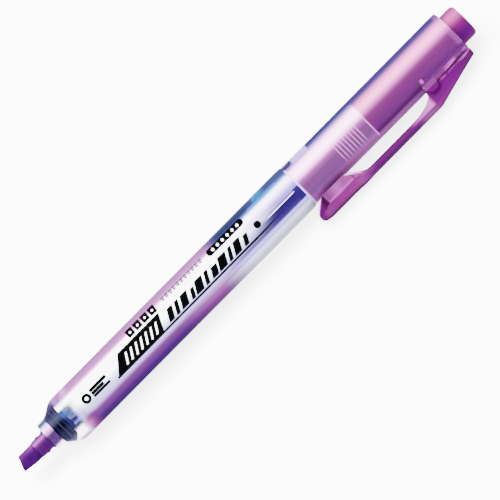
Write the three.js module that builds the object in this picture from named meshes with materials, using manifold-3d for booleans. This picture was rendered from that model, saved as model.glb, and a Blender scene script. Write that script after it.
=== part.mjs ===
// Retractable chisel-tip highlighter with a clear barrel, an ink cartridge, a front shutter and a pocket clip.
// Built in a pen frame: s runs along the pen from the nib's foremost corner (s = 0) to the push button's end, h is the height from the pen's axis towards the clip, w is the width across it.
// The finished pen is then turned about its long axis so that it lies on the barrel and on the corner of its clip, as it does on a desk.
import * as THREE from "three";
import { mergeVertices } from "three/addons/utils/BufferGeometryUtils.js";
import Module from "manifold-3d";

// ---------- driving dimensions, mm ----------
const LENGTH = 142.8; // nib corner to button end, nib out
const BARREL_R = 6.0; // front barrel, outside
const BARREL_BORE_R = 4.9;
const REAR_R = 5.75; // rear barrel, outside
const REAR_BORE_R = 4.85;
const TENON_BORE_R = 4.6;
const TUBE_R = 4.25; // knock tube and push button
const BUTTON_HOLE_R = 4.33;
const NOSE_S = 9.1; // front rim of the nose
const PARTING_S = 13.0; // nose against front barrel
const JOINT_S = 91.3; // front barrel against rear barrel
const TENON_END_S = 110.9;
const REAR_END_S = 138.7;
const NIB_HOLDER_R = 2.64;
const NIB_BLOCK = [3.6, 2.4]; // felt block, tall and wide
const SHANK_R = 1.4;
const CARTRIDGE_R = 4.1;
const LABEL_S = [16.9, 87.9];
const LABEL_R = [5.88, 5.985];
const CLIP_OUT_H = 10.4; // outer face of the clip's pad
const CLIP_ARM_OUT_H = 10.9; // outer face of its arm, which bows out a little
const CLIP_IN_H = 6.8; // inner face of the clip's pad
const CLIP_ARM_T = 0.95;
const CLIP_PAD_W = 5.5;
const CLIP_ARM_W = 3.5;
const CLIP_ROOT_W = 3.6;
const PIVOT = [126.6, 7.8]; // clip pin: s, h
const PIVOT_R = 0.45;
const FLAP = { s: 15.3, h: -3.3, r: 2.9, t: 0.35 }; // shutter pin and disc, on the side away from the clip
const SPRING = { from: 22.9, to: 41.3, r: 3.6, wire: 0.25, turns: 9 };
const SIDES = 32; // flats round each large turned piece
const SMALL_SIDES = 24;
const CHAMFER = 0.5; // along the clip pad's outer edges

// The clip's direction is this far below the horizontal when the barrel and the pad's outer corner both touch the desk.
const REST =
  Math.asin(
    (BARREL_R * Math.cos(Math.PI / SIDES)) /
      Math.hypot(CLIP_OUT_H - CHAMFER, CLIP_PAD_W / 2),
  ) - Math.atan2(CLIP_PAD_W / 2, CLIP_OUT_H - CHAMFER);
const TURN = -(Math.PI / 2 - REST);

const wasm = await Module();
wasm.setup();

// ---------- helpers ----------
function solid(geometry) {
  const g = geometry.index ? geometry.toNonIndexed() : geometry;
  const bare = new THREE.BufferGeometry().setAttribute(
    "position",
    g.getAttribute("position"),
  );
  const m = mergeVertices(bare, 1e-4);
  const p = m.attributes.position.array;
  const tris = [];
  for (let i = 0; i < m.index.array.length; i += 3) {
    const [a, b, c] = m.index.array.slice(i, i + 3);
    if (a !== b && b !== c && a !== c) tris.push(a, b, c);
  }
  let v = 0;
  for (let i = 0; i < tris.length; i += 3) {
    const [a, b, c] = [tris[i] * 3, tris[i + 1] * 3, tris[i + 2] * 3];
    v +=
      p[a] * (p[b + 1] * p[c + 2] - p[b + 2] * p[c + 1]) -
      p[a + 1] * (p[b] * p[c + 2] - p[b + 2] * p[c]) +
      p[a + 2] * (p[b] * p[c + 1] - p[b + 1] * p[c]);
  }
  if (v < 0)
    for (let i = 0; i < tris.length; i += 3)
      [tris[i + 1], tris[i + 2]] = [tris[i + 2], tris[i + 1]];
  return new wasm.Manifold(
    new wasm.Mesh({
      numProp: 3,
      vertProperties: new Float32Array(p),
      triVerts: new Uint32Array(tris),
    }),
  );
}
// A turned piece about the pen's axis, from [s, r] points: on the axis at both ends, or a closed loop.
function turned(points, sides = SIDES, at = [0, 0]) {
  const first = points[0],
    last = points[points.length - 1];
  const open = first[1] === 0 && last[1] === 0;
  const loop = open ? points : [...points, first];
  const phase = Math.PI / sides - TURN;
  const g = new THREE.LatheGeometry(
    loop.map(([s, r]) => new THREE.Vector2(r, s)),
    sides,
    phase,
    2 * Math.PI,
  );
  g.rotateZ(-Math.PI / 2);
  g.translate(0, at[0], at[1]);
  return solid(g);
}
const ring = (s0, s1, r0, r1, sides = SIDES) =>
  turned(
    [
      [s0, r0],
      [s0, r1],
      [s1, r1],
      [s1, r0],
    ],
    sides,
  );
const rod = (s0, s1, r, sides = SIDES) =>
  turned(
    [
      [s0, 0],
      [s0, r],
      [s1, r],
      [s1, 0],
    ],
    sides,
  );
// A flat profile in (s, h), as thick as w0 to w1 across the pen.
function side(points, w0, w1) {
  const g = new THREE.ExtrudeGeometry(
    new THREE.Shape(points.map(([s, h]) => new THREE.Vector2(s, h))),
    { depth: w1 - w0, bevelEnabled: false },
  );
  // (s, h, depth) -> (s, w0 + depth, -h)
  g.applyMatrix4(
    new THREE.Matrix4().set(1, 0, 0, 0, 0, 0, 1, w0, 0, -1, 0, 0, 0, 0, 0, 1),
  );
  return solid(g);
}
// A profile in (w, h), running along the pen from s0 to s1.
function along(points, s0, s1) {
  const g = new THREE.ExtrudeGeometry(
    new THREE.Shape(points.map(([w, h]) => new THREE.Vector2(w, h))),
    { depth: s1 - s0, bevelEnabled: false },
  );
  // (w, h, depth) -> (s0 + depth, w, -h)
  g.applyMatrix4(
    new THREE.Matrix4().set(0, 0, 1, s0, 1, 0, 0, 0, 0, -1, 0, 0, 0, 0, 0, 1),
  );
  return solid(g);
}
function box(s0, s1, w0, w1, h0, h1) {
  const g = new THREE.BoxGeometry(s1 - s0, w1 - w0, h1 - h0);
  g.translate((s0 + s1) / 2, (w0 + w1) / 2, -(h0 + h1) / 2);
  return solid(g);
}
// A round pin across the pen, centred on (s, h).
function cross(s, h, r, w0, w1, sides = 16) {
  const g = new THREE.CylinderGeometry(r, r, w1 - w0, sides);
  g.translate(s, (w0 + w1) / 2, -h);
  return solid(g);
}

const pen = new THREE.Group();
pen.name = "highlighter";
function add(name, shape, color, roughness, metalness = 0, opacity = 1) {
  const m = shape.getMesh();
  const g = new THREE.BufferGeometry();
  const p = [];
  for (let i = 0; i < m.numVert; i++)
    p.push(...m.vertProperties.slice(i * m.numProp, i * m.numProp + 3));
  g.setAttribute("position", new THREE.BufferAttribute(new Float32Array(p), 3));
  g.setIndex([...m.triVerts]);
  g.computeVertexNormals();
  const mesh = new THREE.Mesh(
    g,
    new THREE.MeshStandardMaterial({
      color,
      roughness,
      metalness,
      opacity,
      transparent: opacity < 1,
    }),
  );
  mesh.name = name;
  pen.add(mesh);
}

// ---------- front end ----------
// Nose: a clear plastic mouthpiece, its tenon plugged into the barrel.
add(
  "nose_cone",
  turned([
    [NOSE_S, 2.95],
    [NOSE_S, 3.6],
    [NOSE_S + 0.3, 3.9],
    [11.5, 4.05],
    [12.3, 4.4],
    [PARTING_S, 4.85],
    [PARTING_S, 4.5],
    [14.7, 4.5],
    [14.7, 4.0],
    [12.65, 4.0],
    [12.65, 3.35],
    [9.9, 3.35],
    [9.9, 2.95],
  ]),
  0xe6ecf6,
  0.1,
  0,
  0.5,
);
add("nib_wiper_seal", ring(9.95, 11.3, 2.72, 3.3), 0x1b2350, 0.6);
add("nose_seal_ring", ring(13.45, 14.35, 4.55, 4.8), 0x18204a, 0.6);
add(
  "valve_seat_gasket",
  turned([
    [11.75, 2.74],
    [11.75, 3.3],
    [12.8, 3.3],
    [13.0, 3.4],
    [14.7, 3.4],
    [14.7, 2.74],
  ]),
  0x18204a,
  0.6,
);
// Shutter housing: a short sleeve with a wider cage behind it, a slot for the flap's pin and two side windows.
let housing = turned([
  [12.9, 3.45],
  [12.9, 3.68],
  [14.8, 3.9],
  [15.1, 4.4],
  [15.6, 4.75],
  [21.9, 4.75],
  [21.9, 4.35],
  [15.95, 4.35],
  [15.95, 3.45],
]);
housing = housing
  .subtract(box(14.7, 15.96, -1.7, 1.7, -4.2, -2.5))
  .subtract(box(17.2, 20.4, -6, 6, -1.3, 1.3));
housing = housing.subtract(cross(FLAP.s, FLAP.h, 0.27, -2.4, 2.4, 12));
add("valve_housing", housing, 0x6f9ad6, 0.3, 0, 0.8);
add("shutter_hinge_pin", cross(FLAP.s, FLAP.h, 0.22, -2.3, 2.3, 12), 0xb9bec8, 0.3, 1);
// Shutter flap: a thin rubber disc on a tab that is looped round the pin.
{
  const cs = FLAP.s - FLAP.h;
  const g = new THREE.CylinderGeometry(FLAP.r, FLAP.r, FLAP.t, 24);
  g.rotateX(Math.PI / 2);
  g.translate(cs, 0, -(FLAP.h + 0.15 + FLAP.t / 2));
  let flap = solid(g);
  flap = flap.add(
    box(FLAP.s + 0.1, cs - 1.5, -1.5, 1.5, FLAP.h + 0.15, FLAP.h + 0.15 + FLAP.t),
  );
  flap = flap.add(cross(FLAP.s, FLAP.h, 0.5, -1.5, 1.5, 16));
  flap = flap.subtract(cross(FLAP.s, FLAP.h, 0.27, -2, 2, 12));
  add("shutter_flap", flap, 0x1d2a66, 0.6);
}

// ---------- barrel ----------
const ridges = [];
for (let i = 0; i < 8; i++) {
  ridges.push([100.9 + i * 0.94, 4.95], [100.9 + i * 0.94 + 0.47, 5.1]);
}
add(
  "front_barrel",
  turned([
    [PARTING_S + 0.05, 4.55],
    [PARTING_S + 0.05, 4.9],
    [14.0, 5.5],
    [14.8, 5.85],
    [15.6, BARREL_R],
    [LABEL_S[0] - 0.1, BARREL_R],
    [LABEL_S[0] - 0.1, LABEL_R[0] - 0.04],
    [LABEL_S[1] + 0.1, LABEL_R[0] - 0.04],
    [LABEL_S[1] + 0.1, BARREL_R],
    [88.3, BARREL_R],
    [89.1, 5.9],
    [89.5, 5.72],
    [JOINT_S - 0.1, 5.7],
    [JOINT_S - 0.1, 4.95],
    ...ridges,
    [108.45, 4.95],
    [TENON_END_S, 4.95],
    [TENON_END_S, TENON_BORE_R],
    [92.2, TENON_BORE_R],
    [91.4, BARREL_BORE_R],
    [16.4, BARREL_BORE_R],
    [15.9, 4.85],
    [13.35, 4.85],
    [13.35, 4.55],
  ]),
  0xe4eaf6,
  0.08,
  0,
  0.4,
);
add("label_film", ring(LABEL_S[0], LABEL_S[1], LABEL_R[0], LABEL_R[1]), 0xe9e4f2, 0.4);

// Rear barrel: clear tube with two rails and a pair of ears for the clip, and a window for the latch.
let rear = turned([
  [JOINT_S, 5.18],
  [JOINT_S, 5.65],
  [JOINT_S + 0.3, REAR_R],
  [REAR_END_S - 0.5, REAR_R],
  [REAR_END_S, 5.3],
  [REAR_END_S, BUTTON_HOLE_R],
  [REAR_END_S - 0.9, BUTTON_HOLE_R],
  [REAR_END_S - 0.9, REAR_BORE_R],
  [111.3, REAR_BORE_R],
  [111.3, 5.18],
]);
{
  // the rails run down towards the button end
  const rail = (a, b) =>
    side(
      [
        [124.7, 4.0],
        [124.7, 7.3],
        [REAR_END_S, 6.45],
        [REAR_END_S, 4.0],
      ],
      a,
      b,
    );
  const ear = (a, b) =>
    side(
      [
        [125.0, 5.2],
        [125.0, 7.9],
        [125.7, 8.6],
        [127.5, 8.6],
        [128.2, 7.9],
        [128.2, 5.2],
      ],
      a,
      b,
    );
  let fitting = rail(2.1, 2.75)
    .add(rail(-2.75, -2.1))
    .add(ear(2.1, 2.75))
    .add(ear(-2.75, -2.1));
  // a low rib round the clip's side of the barrel
  fitting = fitting.add(ring(124.9, 126.1, 5.3, 5.98).intersect(box(124, 127, -7, 7, 4.7, 5.9)));
  fitting = fitting.subtract(rod(120, REAR_END_S + 1, 5.3));
  rear = rear
    .add(fitting)
    .subtract(cross(PIVOT[0], PIVOT[1], PIVOT_R + 0.02, -3, 3))
    .subtract(box(130.1, 133.1, -1.2, 1.2, 4.0, 7));
}
add("rear_barrel", rear, 0xe6dcf0, 0.08, 0, 0.4);

// ---------- clip ----------
{
  const armIn = CLIP_ARM_OUT_H - CLIP_ARM_T;
  const pad = side(
    [
      [87.7, 9.7],
      [88.6, CLIP_OUT_H],
      [103.4, CLIP_OUT_H],
      [103.4, armIn],
      [102.9, armIn],
      [99.8, 7.6],
      [97.9, CLIP_IN_H],
      [91.5, CLIP_IN_H],
      [90.9, 7.1],
    ],
    -CLIP_PAD_W / 2,
    CLIP_PAD_W / 2,
  );
  const w = CLIP_PAD_W / 2;
  const section = along(
    [
      [-w, 8.65],
      [-w + 0.4, 8.65],
      [-w + 0.4, 6],
      [w - 0.4, 6],
      [w - 0.4, 8.65],
      [w, 8.65],
      [w, CLIP_OUT_H - CHAMFER],
      [w - CHAMFER, CLIP_OUT_H],
      [-w + CHAMFER, CLIP_OUT_H],
      [-w, CLIP_OUT_H - CHAMFER],
    ],
    80,
    110,
  );
  const arm = side(
    [
      [98.6, 9.2],
      [98.6, CLIP_OUT_H - 0.02],
      [103.6, CLIP_ARM_OUT_H],
      [125.0, CLIP_ARM_OUT_H],
      [125.0, armIn],
      [103.0, armIn],
      [101.6, 9.2],
    ],
    -CLIP_ARM_W / 2,
    CLIP_ARM_W / 2,
  );
  // The root is a wedge over the pin, with a curved web under the arm in front of it; a short prong under it stands over the latch's hook.
  const root = side(
    [
      [117.6, CLIP_ARM_OUT_H - 0.3],
      [117.6, armIn],
      [120.2, 9.7],
      [122.6, 9.05],
      [124.3, 8.0],
      [124.7, 6.75],
      [131.2, 6.75],
      [131.2, 6.1],
      [132.5, 6.1],
      [132.5, 6.75],
      [REAR_END_S, 6.75],
      [REAR_END_S, 7.1],
      [125.2, CLIP_ARM_OUT_H],
    ],
    -CLIP_ROOT_W / 2,
    CLIP_ROOT_W / 2,
  );
  // shoulders where the pad narrows into the arm
  const plan = (pts) => {
    const g = new THREE.ExtrudeGeometry(
      new THREE.Shape(pts.map(([s, y]) => new THREE.Vector2(s, y))),
      { depth: 20, bevelEnabled: false },
    );
    g.translate(0, 0, -20);
    return solid(g);
  };
  const outline = plan([
    [87.6, -1.0],
    [88.3, -1.9],
    [90.4, -w - 0.01],
    [100.6, -w - 0.01],
    [103.2, -CLIP_ARM_W / 2],
    [124.2, -CLIP_ARM_W / 2],
    [125.4, -CLIP_ROOT_W / 2],
    [139, -CLIP_ROOT_W / 2],
    [139, CLIP_ROOT_W / 2],
    [125.4, CLIP_ROOT_W / 2],
    [124.2, CLIP_ARM_W / 2],
    [103.2, CLIP_ARM_W / 2],
    [100.6, w + 0.01],
    [90.4, w + 0.01],
    [88.3, 1.9],
    [87.6, 1.0],
  ]);
  let clip = pad
    .intersect(section)
    .add(arm)
    .add(root)
    .intersect(outline)
    .subtract(cross(PIVOT[0], PIVOT[1], PIVOT_R + 0.06, -4, 4));
  clip = clip.subtract(
    // the prong is narrower than the root
    box(131.0, 132.7, 0.8, 3, 5, 6.75).add(box(131.0, 132.7, -3, -0.8, 5, 6.75)),
  );
  add("clip", clip, 0xb049b8, 0.12, 0, 0.7);
}
add("clip_pivot_pin", cross(PIVOT[0], PIVOT[1], PIVOT_R, -2.72, 2.72), 0xd9b8e2, 0.2);

// ---------- nib and cartridge ----------
{
  const [tall, wide] = [NIB_BLOCK[0] / 2, NIB_BLOCK[1] / 2];
  const block = side(
    [
      [0, tall],
      [1.25, -tall],
      [5.34, -tall],
      [5.34, tall],
    ],
    -wide,
    wide,
  );
  // the chisel: one broad face is cut away towards the writing edge
  const plan = new THREE.ExtrudeGeometry(
    new THREE.Shape([
      new THREE.Vector2(-1, -0.3),
      new THREE.Vector2(0, -0.3),
      new THREE.Vector2(4.2, 1.22),
      new THREE.Vector2(-1, 1.22),
    ]),
    { depth: 10, bevelEnabled: false },
  );
  plan.translate(0, 0, -5);
  add(
    "nib",
    block.subtract(solid(plan)).add(rod(5.0, 46.5, SHANK_R, SMALL_SIDES)),
    0x6a1fa0,
    0.9,
  );
}
add(
  "nib_holder",
  turned([
    [5.35, 1.48],
    [5.35, 2.05],
    [5.55, 2.2],
    [8.4, 2.2],
    [8.7, NIB_HOLDER_R],
    [42.3, NIB_HOLDER_R],
    [42.3, CARTRIDGE_R],
    [43.3, CARTRIDGE_R],
    [43.3, 3.42],
    [46.2, 3.42],
    [46.2, 1.48],
  ]),
  0xb77fc8,
  0.15,
  0,
  0.8,
);
add("spring_seat", ring(41.55, 42.2, 2.72, 4.2), 0xc9ccd4, 0.3, 1);
add("spring_stop_ring", ring(22.05, 22.65, 2.9, 4.85), 0xdfe6f4, 0.3);
{
  const pts = [];
  const n = SPRING.turns * 12;
  for (let i = 0; i <= n; i++) {
    const t = i / n,
      a = 2 * Math.PI * SPRING.turns * t;
    pts.push(
      new THREE.Vector3(
        SPRING.from + (SPRING.to - SPRING.from) * t,
        SPRING.r * Math.cos(a),
        SPRING.r * Math.sin(a),
      ),
    );
  }
  const wire = new THREE.Shape();
  for (let k = 0; k < 5; k++) {
    const a = (2 * Math.PI * k) / 5;
    const [x, y] = [SPRING.wire * Math.cos(a), SPRING.wire * Math.sin(a)];
    if (k) wire.lineTo(x, y);
    else wire.moveTo(x, y);
  }
  wire.closePath();
  const g = new THREE.ExtrudeGeometry(wire, {
    steps: n,
    bevelEnabled: false,
    extrudePath: new THREE.CatmullRomCurve3(pts),
  });
  add("return_spring", solid(g), 0xc6cad2, 0.25, 1);
}
add("cartridge_tube", ring(43.4, 92.6, 3.5, CARTRIDGE_R), 0xe9def2, 0.1, 0, 0.6);
add("ink_reservoir", rod(46.8, 88.2, 3.4), 0x8b2fb0, 0.95);
add(
  "cartridge_end_plug",
  turned([
    [88.6, 0],
    [88.6, 3.42],
    [92.7, 3.42],
    [92.7, CARTRIDGE_R],
    [93.3, CARTRIDGE_R],
    [93.3, 0],
  ]),
  0xa05ab8,
  0.3,
);

// ---------- push button and latch ----------
add(
  "knock_tube",
  turned([
    [89.0, 4.16],
    [89.0, 4.45],
    [93.9, 4.45],
    [94.4, TUBE_R],
    [138.3, TUBE_R],
    [138.3, 3.5],
    [93.5, 3.5],
    [93.5, 4.16],
  ]),
  0xa65cb8,
  0.2,
  0,
  0.8,
);
add(
  "knock_button",
  turned([
    [LENGTH, 0],
    [LENGTH, 3.3],
    [142.6, 3.8],
    [142.25, 4.12],
    [141.8, TUBE_R],
    [138.4, TUBE_R],
    [138.4, 3.44],
    [134.3, 3.44],
    [134.3, 2.6],
    [141.2, 2.6],
    [141.2, 0],
  ]),
  0xb04ac0,
  0.15,
);
add(
  "latch_arm",
  box(117.0, 132.8, -1.0, 1.0, 4.33, 4.68).add(box(131.5, 132.8, -0.75, 0.75, 4.5, 5.5)),
  0xa65cb8,
  0.3,
);

// ---------- lay the pen down and put the frame under its middle ----------
pen.rotation.x = TURN;
pen.updateMatrixWorld(true);
const extent = new THREE.Box3().setFromObject(pen, true);
const middle = extent.getCenter(new THREE.Vector3());
pen.position.set(-middle.x, -middle.y, -extent.min.z);

const highlighter = new THREE.Group();
highlighter.add(pen);
export default highlighter;
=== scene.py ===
import bpy, bmesh, math
from mathutils import Vector, Matrix


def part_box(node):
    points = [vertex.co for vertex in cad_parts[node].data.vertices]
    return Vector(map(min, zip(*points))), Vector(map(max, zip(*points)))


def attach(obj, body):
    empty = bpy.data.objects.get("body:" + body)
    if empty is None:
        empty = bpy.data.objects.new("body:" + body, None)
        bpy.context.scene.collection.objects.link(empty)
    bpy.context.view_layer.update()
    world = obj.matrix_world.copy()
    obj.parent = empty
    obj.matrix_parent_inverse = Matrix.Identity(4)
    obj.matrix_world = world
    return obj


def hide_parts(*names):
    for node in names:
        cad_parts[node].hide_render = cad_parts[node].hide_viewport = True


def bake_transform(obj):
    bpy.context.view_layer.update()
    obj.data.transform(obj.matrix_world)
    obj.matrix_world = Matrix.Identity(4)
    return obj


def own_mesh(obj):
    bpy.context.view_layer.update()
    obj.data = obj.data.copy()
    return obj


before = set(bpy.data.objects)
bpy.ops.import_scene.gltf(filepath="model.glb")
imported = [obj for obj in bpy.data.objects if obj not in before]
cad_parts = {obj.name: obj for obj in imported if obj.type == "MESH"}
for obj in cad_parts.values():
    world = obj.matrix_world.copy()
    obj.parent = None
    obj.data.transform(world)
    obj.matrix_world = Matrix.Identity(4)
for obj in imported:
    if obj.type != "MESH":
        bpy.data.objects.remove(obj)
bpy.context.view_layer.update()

# ------------------------------------------------------------------ frames
lo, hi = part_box("nib_holder")
YC, ZC = (lo.y + hi.y) / 2, (lo.z + hi.z) / 2          # the pen's axis, row frame, metres
S0 = (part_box("knock_button")[1].x) * 1000 - 142.8       # row x of s = 0, in mm (negative)
REST = math.radians(20.0065)
D = Vector((0, -math.cos(REST), -math.sin(REST)))        # towards the clip
W = Vector((0, math.sin(REST), -math.cos(REST)))         # across the clip
ELEV = math.radians(45.0)
V = Vector((0, -math.cos(ELEV), math.sin(ELEV)))         # the side that faces the camera
U = Vector((0, math.sin(ELEV), math.cos(ELEV)))          # "up" in the straightened picture


def P(s, w, h):
    """pen frame (mm) -> row frame (m)"""
    return Vector(((s + S0) / 1000, YC, ZC)) + (D * h + W * w) / 1000


def Q(s, psi, r):
    """pen frame, polar: psi in degrees from the camera-facing side, positive towards U"""
    a = math.radians(psi)
    return Vector(((s + S0) / 1000, YC, ZC)) + (V * math.cos(a) + U * math.sin(a)) * (r / 1000)


# ------------------------------------------------------------------ mesh helpers
def link(name, verts, faces, mat=None, smooth=35):
    me = bpy.data.meshes.new(name)
    me.from_pydata([tuple(v) for v in verts], [], faces)
    me.validate()
    bm = bmesh.new()
    bm.from_mesh(me)
    bmesh.ops.remove_doubles(bm, verts=bm.verts, dist=2e-7)
    bmesh.ops.recalc_face_normals(bm, faces=bm.faces)
    bm.to_mesh(me)
    bm.free()
    ob = bpy.data.objects.new(name, me)
    bpy.context.scene.collection.objects.link(ob)
    if mat:
        me.materials.append(mat)
    me.polygons.foreach_set("use_smooth", [True] * len(me.polygons))
    me.set_sharp_from_angle(angle=math.radians(smooth))
    return ob


def fillet(points, closed=False, n=5):
    """points are (s, r) or (s, r, radius); corners with a radius are rounded"""
    out = []
    m = len(points)
    for i, p in enumerate(points):
        rad = p[2] if len(p) > 2 else 0
        if not rad or (not closed and i in (0, m - 1)):
            out.append((p[0], p[1]))
            continue
        a, c = Vector(points[i - 1][:2]), Vector(points[(i + 1) % m][:2])
        q = Vector(p[:2])
        u, v = (a - q), (c - q)
        lu, lv = u.length, v.length
        u.normalize(); v.normalize()
        ang = u.angle(v)
        if ang > math.radians(176):
            out.append((p[0], p[1])); continue
        t = min(rad / math.tan(ang / 2), lu * 0.48, lv * 0.48)
        rad = t * math.tan(ang / 2)
        centre = q + (u + v).normalized() * (rad / math.sin(ang / 2))
        s, e = q + u * t - centre, q + v * t - centre
        total = s.angle(e)
        for k in range(n + 1):
            f = k / n
            d = (s * math.sin((1 - f) * total) + e * math.sin(f * total)) / math.sin(total)
            out.append(tuple(centre + d))
    return out


def lathe(name, pts, mat, seg=96, closed=True, smooth=35, n=5):
    prof = fillet(pts, closed, n)
    m = len(prof)
    verts, faces = [], []
    idx = []
    for i, (s, r) in enumerate(prof):
        if r < 1e-6:
            idx.append([len(verts)] * seg)
            verts.append(Q(s, 0, 0))
        else:
            idx.append(list(range(len(verts), len(verts) + seg)))
            verts += [Q(s, 360 * k / seg, r) for k in range(seg)]
    for i in range(m if closed else m - 1):
        a, b = idx[i], idx[(i + 1) % m]
        for k in range(seg):
            k2 = (k + 1) % seg
            f = []
            for v in (a[k], a[k2], b[k2], b[k]):
                if v not in f:
                    f.append(v)
            if len(f) > 2:
                faces.append(f)
    return link(name, verts, faces, mat, smooth)


def loft(name, rings, mat, smooth=35, caps=True):
    verts, faces = [], []
    k = len(rings[0])
    for r in rings:
        verts += r
    for i in range(len(rings) - 1):
        for j in range(k):
            j2 = (j + 1) % k
            faces.append([i * k + j, i * k + j2, (i + 1) * k + j2, (i + 1) * k + j])
    if caps:
        faces.append(list(range(k)))
        faces.append(list(range((len(rings) - 1) * k, len(rings) * k)))
    return link(name, verts, faces, mat, smooth)


def boxp(name, s0, s1, w0, w1, h0, h1, mat, bevel=0.12):
    """a box in the pen frame, with rounded edges"""
    v = [P(s, w, h) for s in (s0, s1) for w in (w0, w1) for h in (h0, h1)]
    f = [[0, 1, 3, 2], [4, 6, 7, 5], [0, 4, 5, 1], [2, 3, 7, 6], [0, 2, 6, 4], [1, 5, 7, 3]]
    ob = link(name, v, f, mat)
    bm = bmesh.new(); bm.from_mesh(ob.data)
    bmesh.ops.bevel(bm, geom=list(bm.edges), offset=bevel / 1000, segments=3, affect="EDGES", clamp_overlap=True)
    bm.to_mesh(ob.data); bm.free()
    ob.data.polygons.foreach_set("use_smooth", [True] * len(ob.data.polygons))
    ob.data.set_sharp_from_angle(angle=math.radians(50))
    return ob


def boolean(ob, other, op):
    m = ob.modifiers.new("b", "BOOLEAN")
    m.object, m.operation, m.solver = other, op, "EXACT"
    dg = bpy.context.evaluated_depsgraph_get()
    me = bpy.data.meshes.new_from_object(ob.evaluated_get(dg))
    ob.modifiers.clear()
    ob.data = me
    bpy.data.objects.remove(other)
    me.polygons.foreach_set("use_smooth", [True] * len(me.polygons))
    me.set_sharp_from_angle(angle=math.radians(30))
    return ob


# ------------------------------------------------------------------ material helpers
class NT:
    def __init__(self, name):
        self.m = bpy.data.materials.new(name)
        self.m.use_nodes = True
        self.t = self.m.node_tree
        self.t.nodes.clear()

    def n(self, kind, **k):
        node = self.t.nodes.new(kind)
        for a, v in k.items():
            setattr(node, a, v)
        return node

    def l(self, a, b):
        self.t.links.new(a, b)

    def val(self, sock, v):
        if hasattr(v, "is_linked") or isinstance(v, bpy.types.NodeSocket):
            self.l(v, sock)
        else:
            sock.default_value = v

    def math(self, op, a, b=0.0, c=None, clamp=False):
        x = self.n("ShaderNodeMath", operation=op, use_clamp=clamp)
        self.val(x.inputs[0], a)
        self.val(x.inputs[1], b)
        if c is not None:
            self.val(x.inputs[2], c)
        return x.outputs[0]

    def mix(self, fac, a, b, blend="MIX"):
        x = self.n("ShaderNodeMix", data_type="RGBA", blend_type=blend)
        self.val(x.inputs["Factor"], fac)
        for s, v in ((6, a), (7, b)):
            if isinstance(v, (tuple, list)):
                v = (*v[:3], 1)
            self.val(x.inputs[s], v)
        return x.outputs[2]

    def ramp(self, fac, stops, interp="LINEAR"):
        x = self.n("ShaderNodeValToRGB")
        x.color_ramp.interpolation = interp
        e = x.color_ramp.elements
        while len(e) > 1:
            e.remove(e[-1])
        for i, (p, c) in enumerate(stops):
            el = e[0] if i == 0 else e.new(p)
            el.position = p
            el.color = (*c[:3], 1)
        self.val(x.inputs[0], fac)
        return x.outputs[0]

    def coords(self):
        """s in mm, psi in degrees, q in mm, from object coordinates (an object's local frame is the row frame)"""
        tc = self.n("ShaderNodeTexCoord")
        sep = self.n("ShaderNodeSeparateXYZ")
        self.l(tc.outputs["Object"], sep.inputs[0])
        x, y, z = sep.outputs
        s = self.math("SUBTRACT", self.math("MULTIPLY", x, 1000.0), S0)
        y = self.math("SUBTRACT", y, YC)
        z = self.math("SUBTRACT", z, ZC)
        u = self.math("ADD", self.math("MULTIPLY", y, U.y), self.math("MULTIPLY", z, U.z))
        v = self.math("ADD", self.math("MULTIPLY", y, V.y), self.math("MULTIPLY", z, V.z))
        psi = self.math("MULTIPLY", self.math("ARCTAN2", u, v), 180 / math.pi)
        q = self.math("MULTIPLY", u, 1000.0)
        return tc.outputs["Object"], s, psi, q

    def step(self, x, a, b):
        """smooth 0..1 as x goes from a to b"""
        m = self.n("ShaderNodeMapRange", interpolation_type="SMOOTHSTEP")
        self.val(m.inputs[0], x)
        m.inputs[1].default_value, m.inputs[2].default_value = a, b
        m.inputs[3].default_value, m.inputs[4].default_value = 0.0, 1.0
        return m.outputs[0]

    def band(self, x, a, b, soft=0.3):
        return self.math("MULTIPLY", self.step(x, a - soft, a + soft), self.math("SUBTRACT", 1.0, self.step(x, b - soft, b + soft)))

    def noise(self, vec, scale, detail=4.0, rough=0.55, stretch=None):
        if stretch:
            mp = self.n("ShaderNodeMapping")
            mp.inputs["Scale"].default_value = stretch
            self.l(vec, mp.inputs[0])
            vec = mp.outputs[0]
        x = self.n("ShaderNodeTexNoise")
        self.l(vec, x.inputs["Vector"])
        x.inputs["Scale"].default_value = scale
        x.inputs["Detail"].default_value = detail
        x.inputs["Roughness"].default_value = rough
        return x.outputs[0]

    def bump(self, height, strength, dist):
        x = self.n("ShaderNodeBump")
        x.inputs["Strength"].default_value = strength
        x.inputs["Distance"].default_value = dist
        self.l(height, x.inputs["Height"])
        return x.outputs[0]

    def out(self, shader):
        o = self.n("ShaderNodeOutputMaterial")
        self.l(shader, o.inputs[0])
        return self.m

    def principled(self, **k):
        p = self.n("ShaderNodeBsdfPrincipled")
        names = {"color": "Base Color", "rough": "Roughness", "metal": "Metallic", "ior": "IOR", "trans": "Transmission Weight",
                 "normal": "Normal", "coat": "Coat Weight", "coat_rough": "Coat Roughness", "sss": "Subsurface Weight", "sheen": "Sheen Weight",
                 "alpha": "Alpha", "spec": "Specular IOR Level", "coat_normal": "Coat Normal", "sss_scale": "Subsurface Scale", "sheen_rough": "Sheen Roughness", "spec_tint": "Specular Tint"}
        for a, v in k.items():
            s = p.inputs[names[a]]
            if a in ("color", "spec_tint") and isinstance(v, (tuple, list)):
                v = (*v[:3], 1)
            self.val(s, v)
        if "sss" in k:
            p.inputs["Subsurface Radius"].default_value = (1.0, 0.5, 1.0)
        return p.outputs[0]


def lin(r, g, b):
    """0-255 display colour -> linear"""
    f = lambda c: (c / 255 / 12.92) if c / 255 <= 0.04045 else ((c / 255 + 0.055) / 1.055) ** 2.4
    return (f(r), f(g), f(b))


def wrap(psi):
    return (psi + 180) / 360


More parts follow.
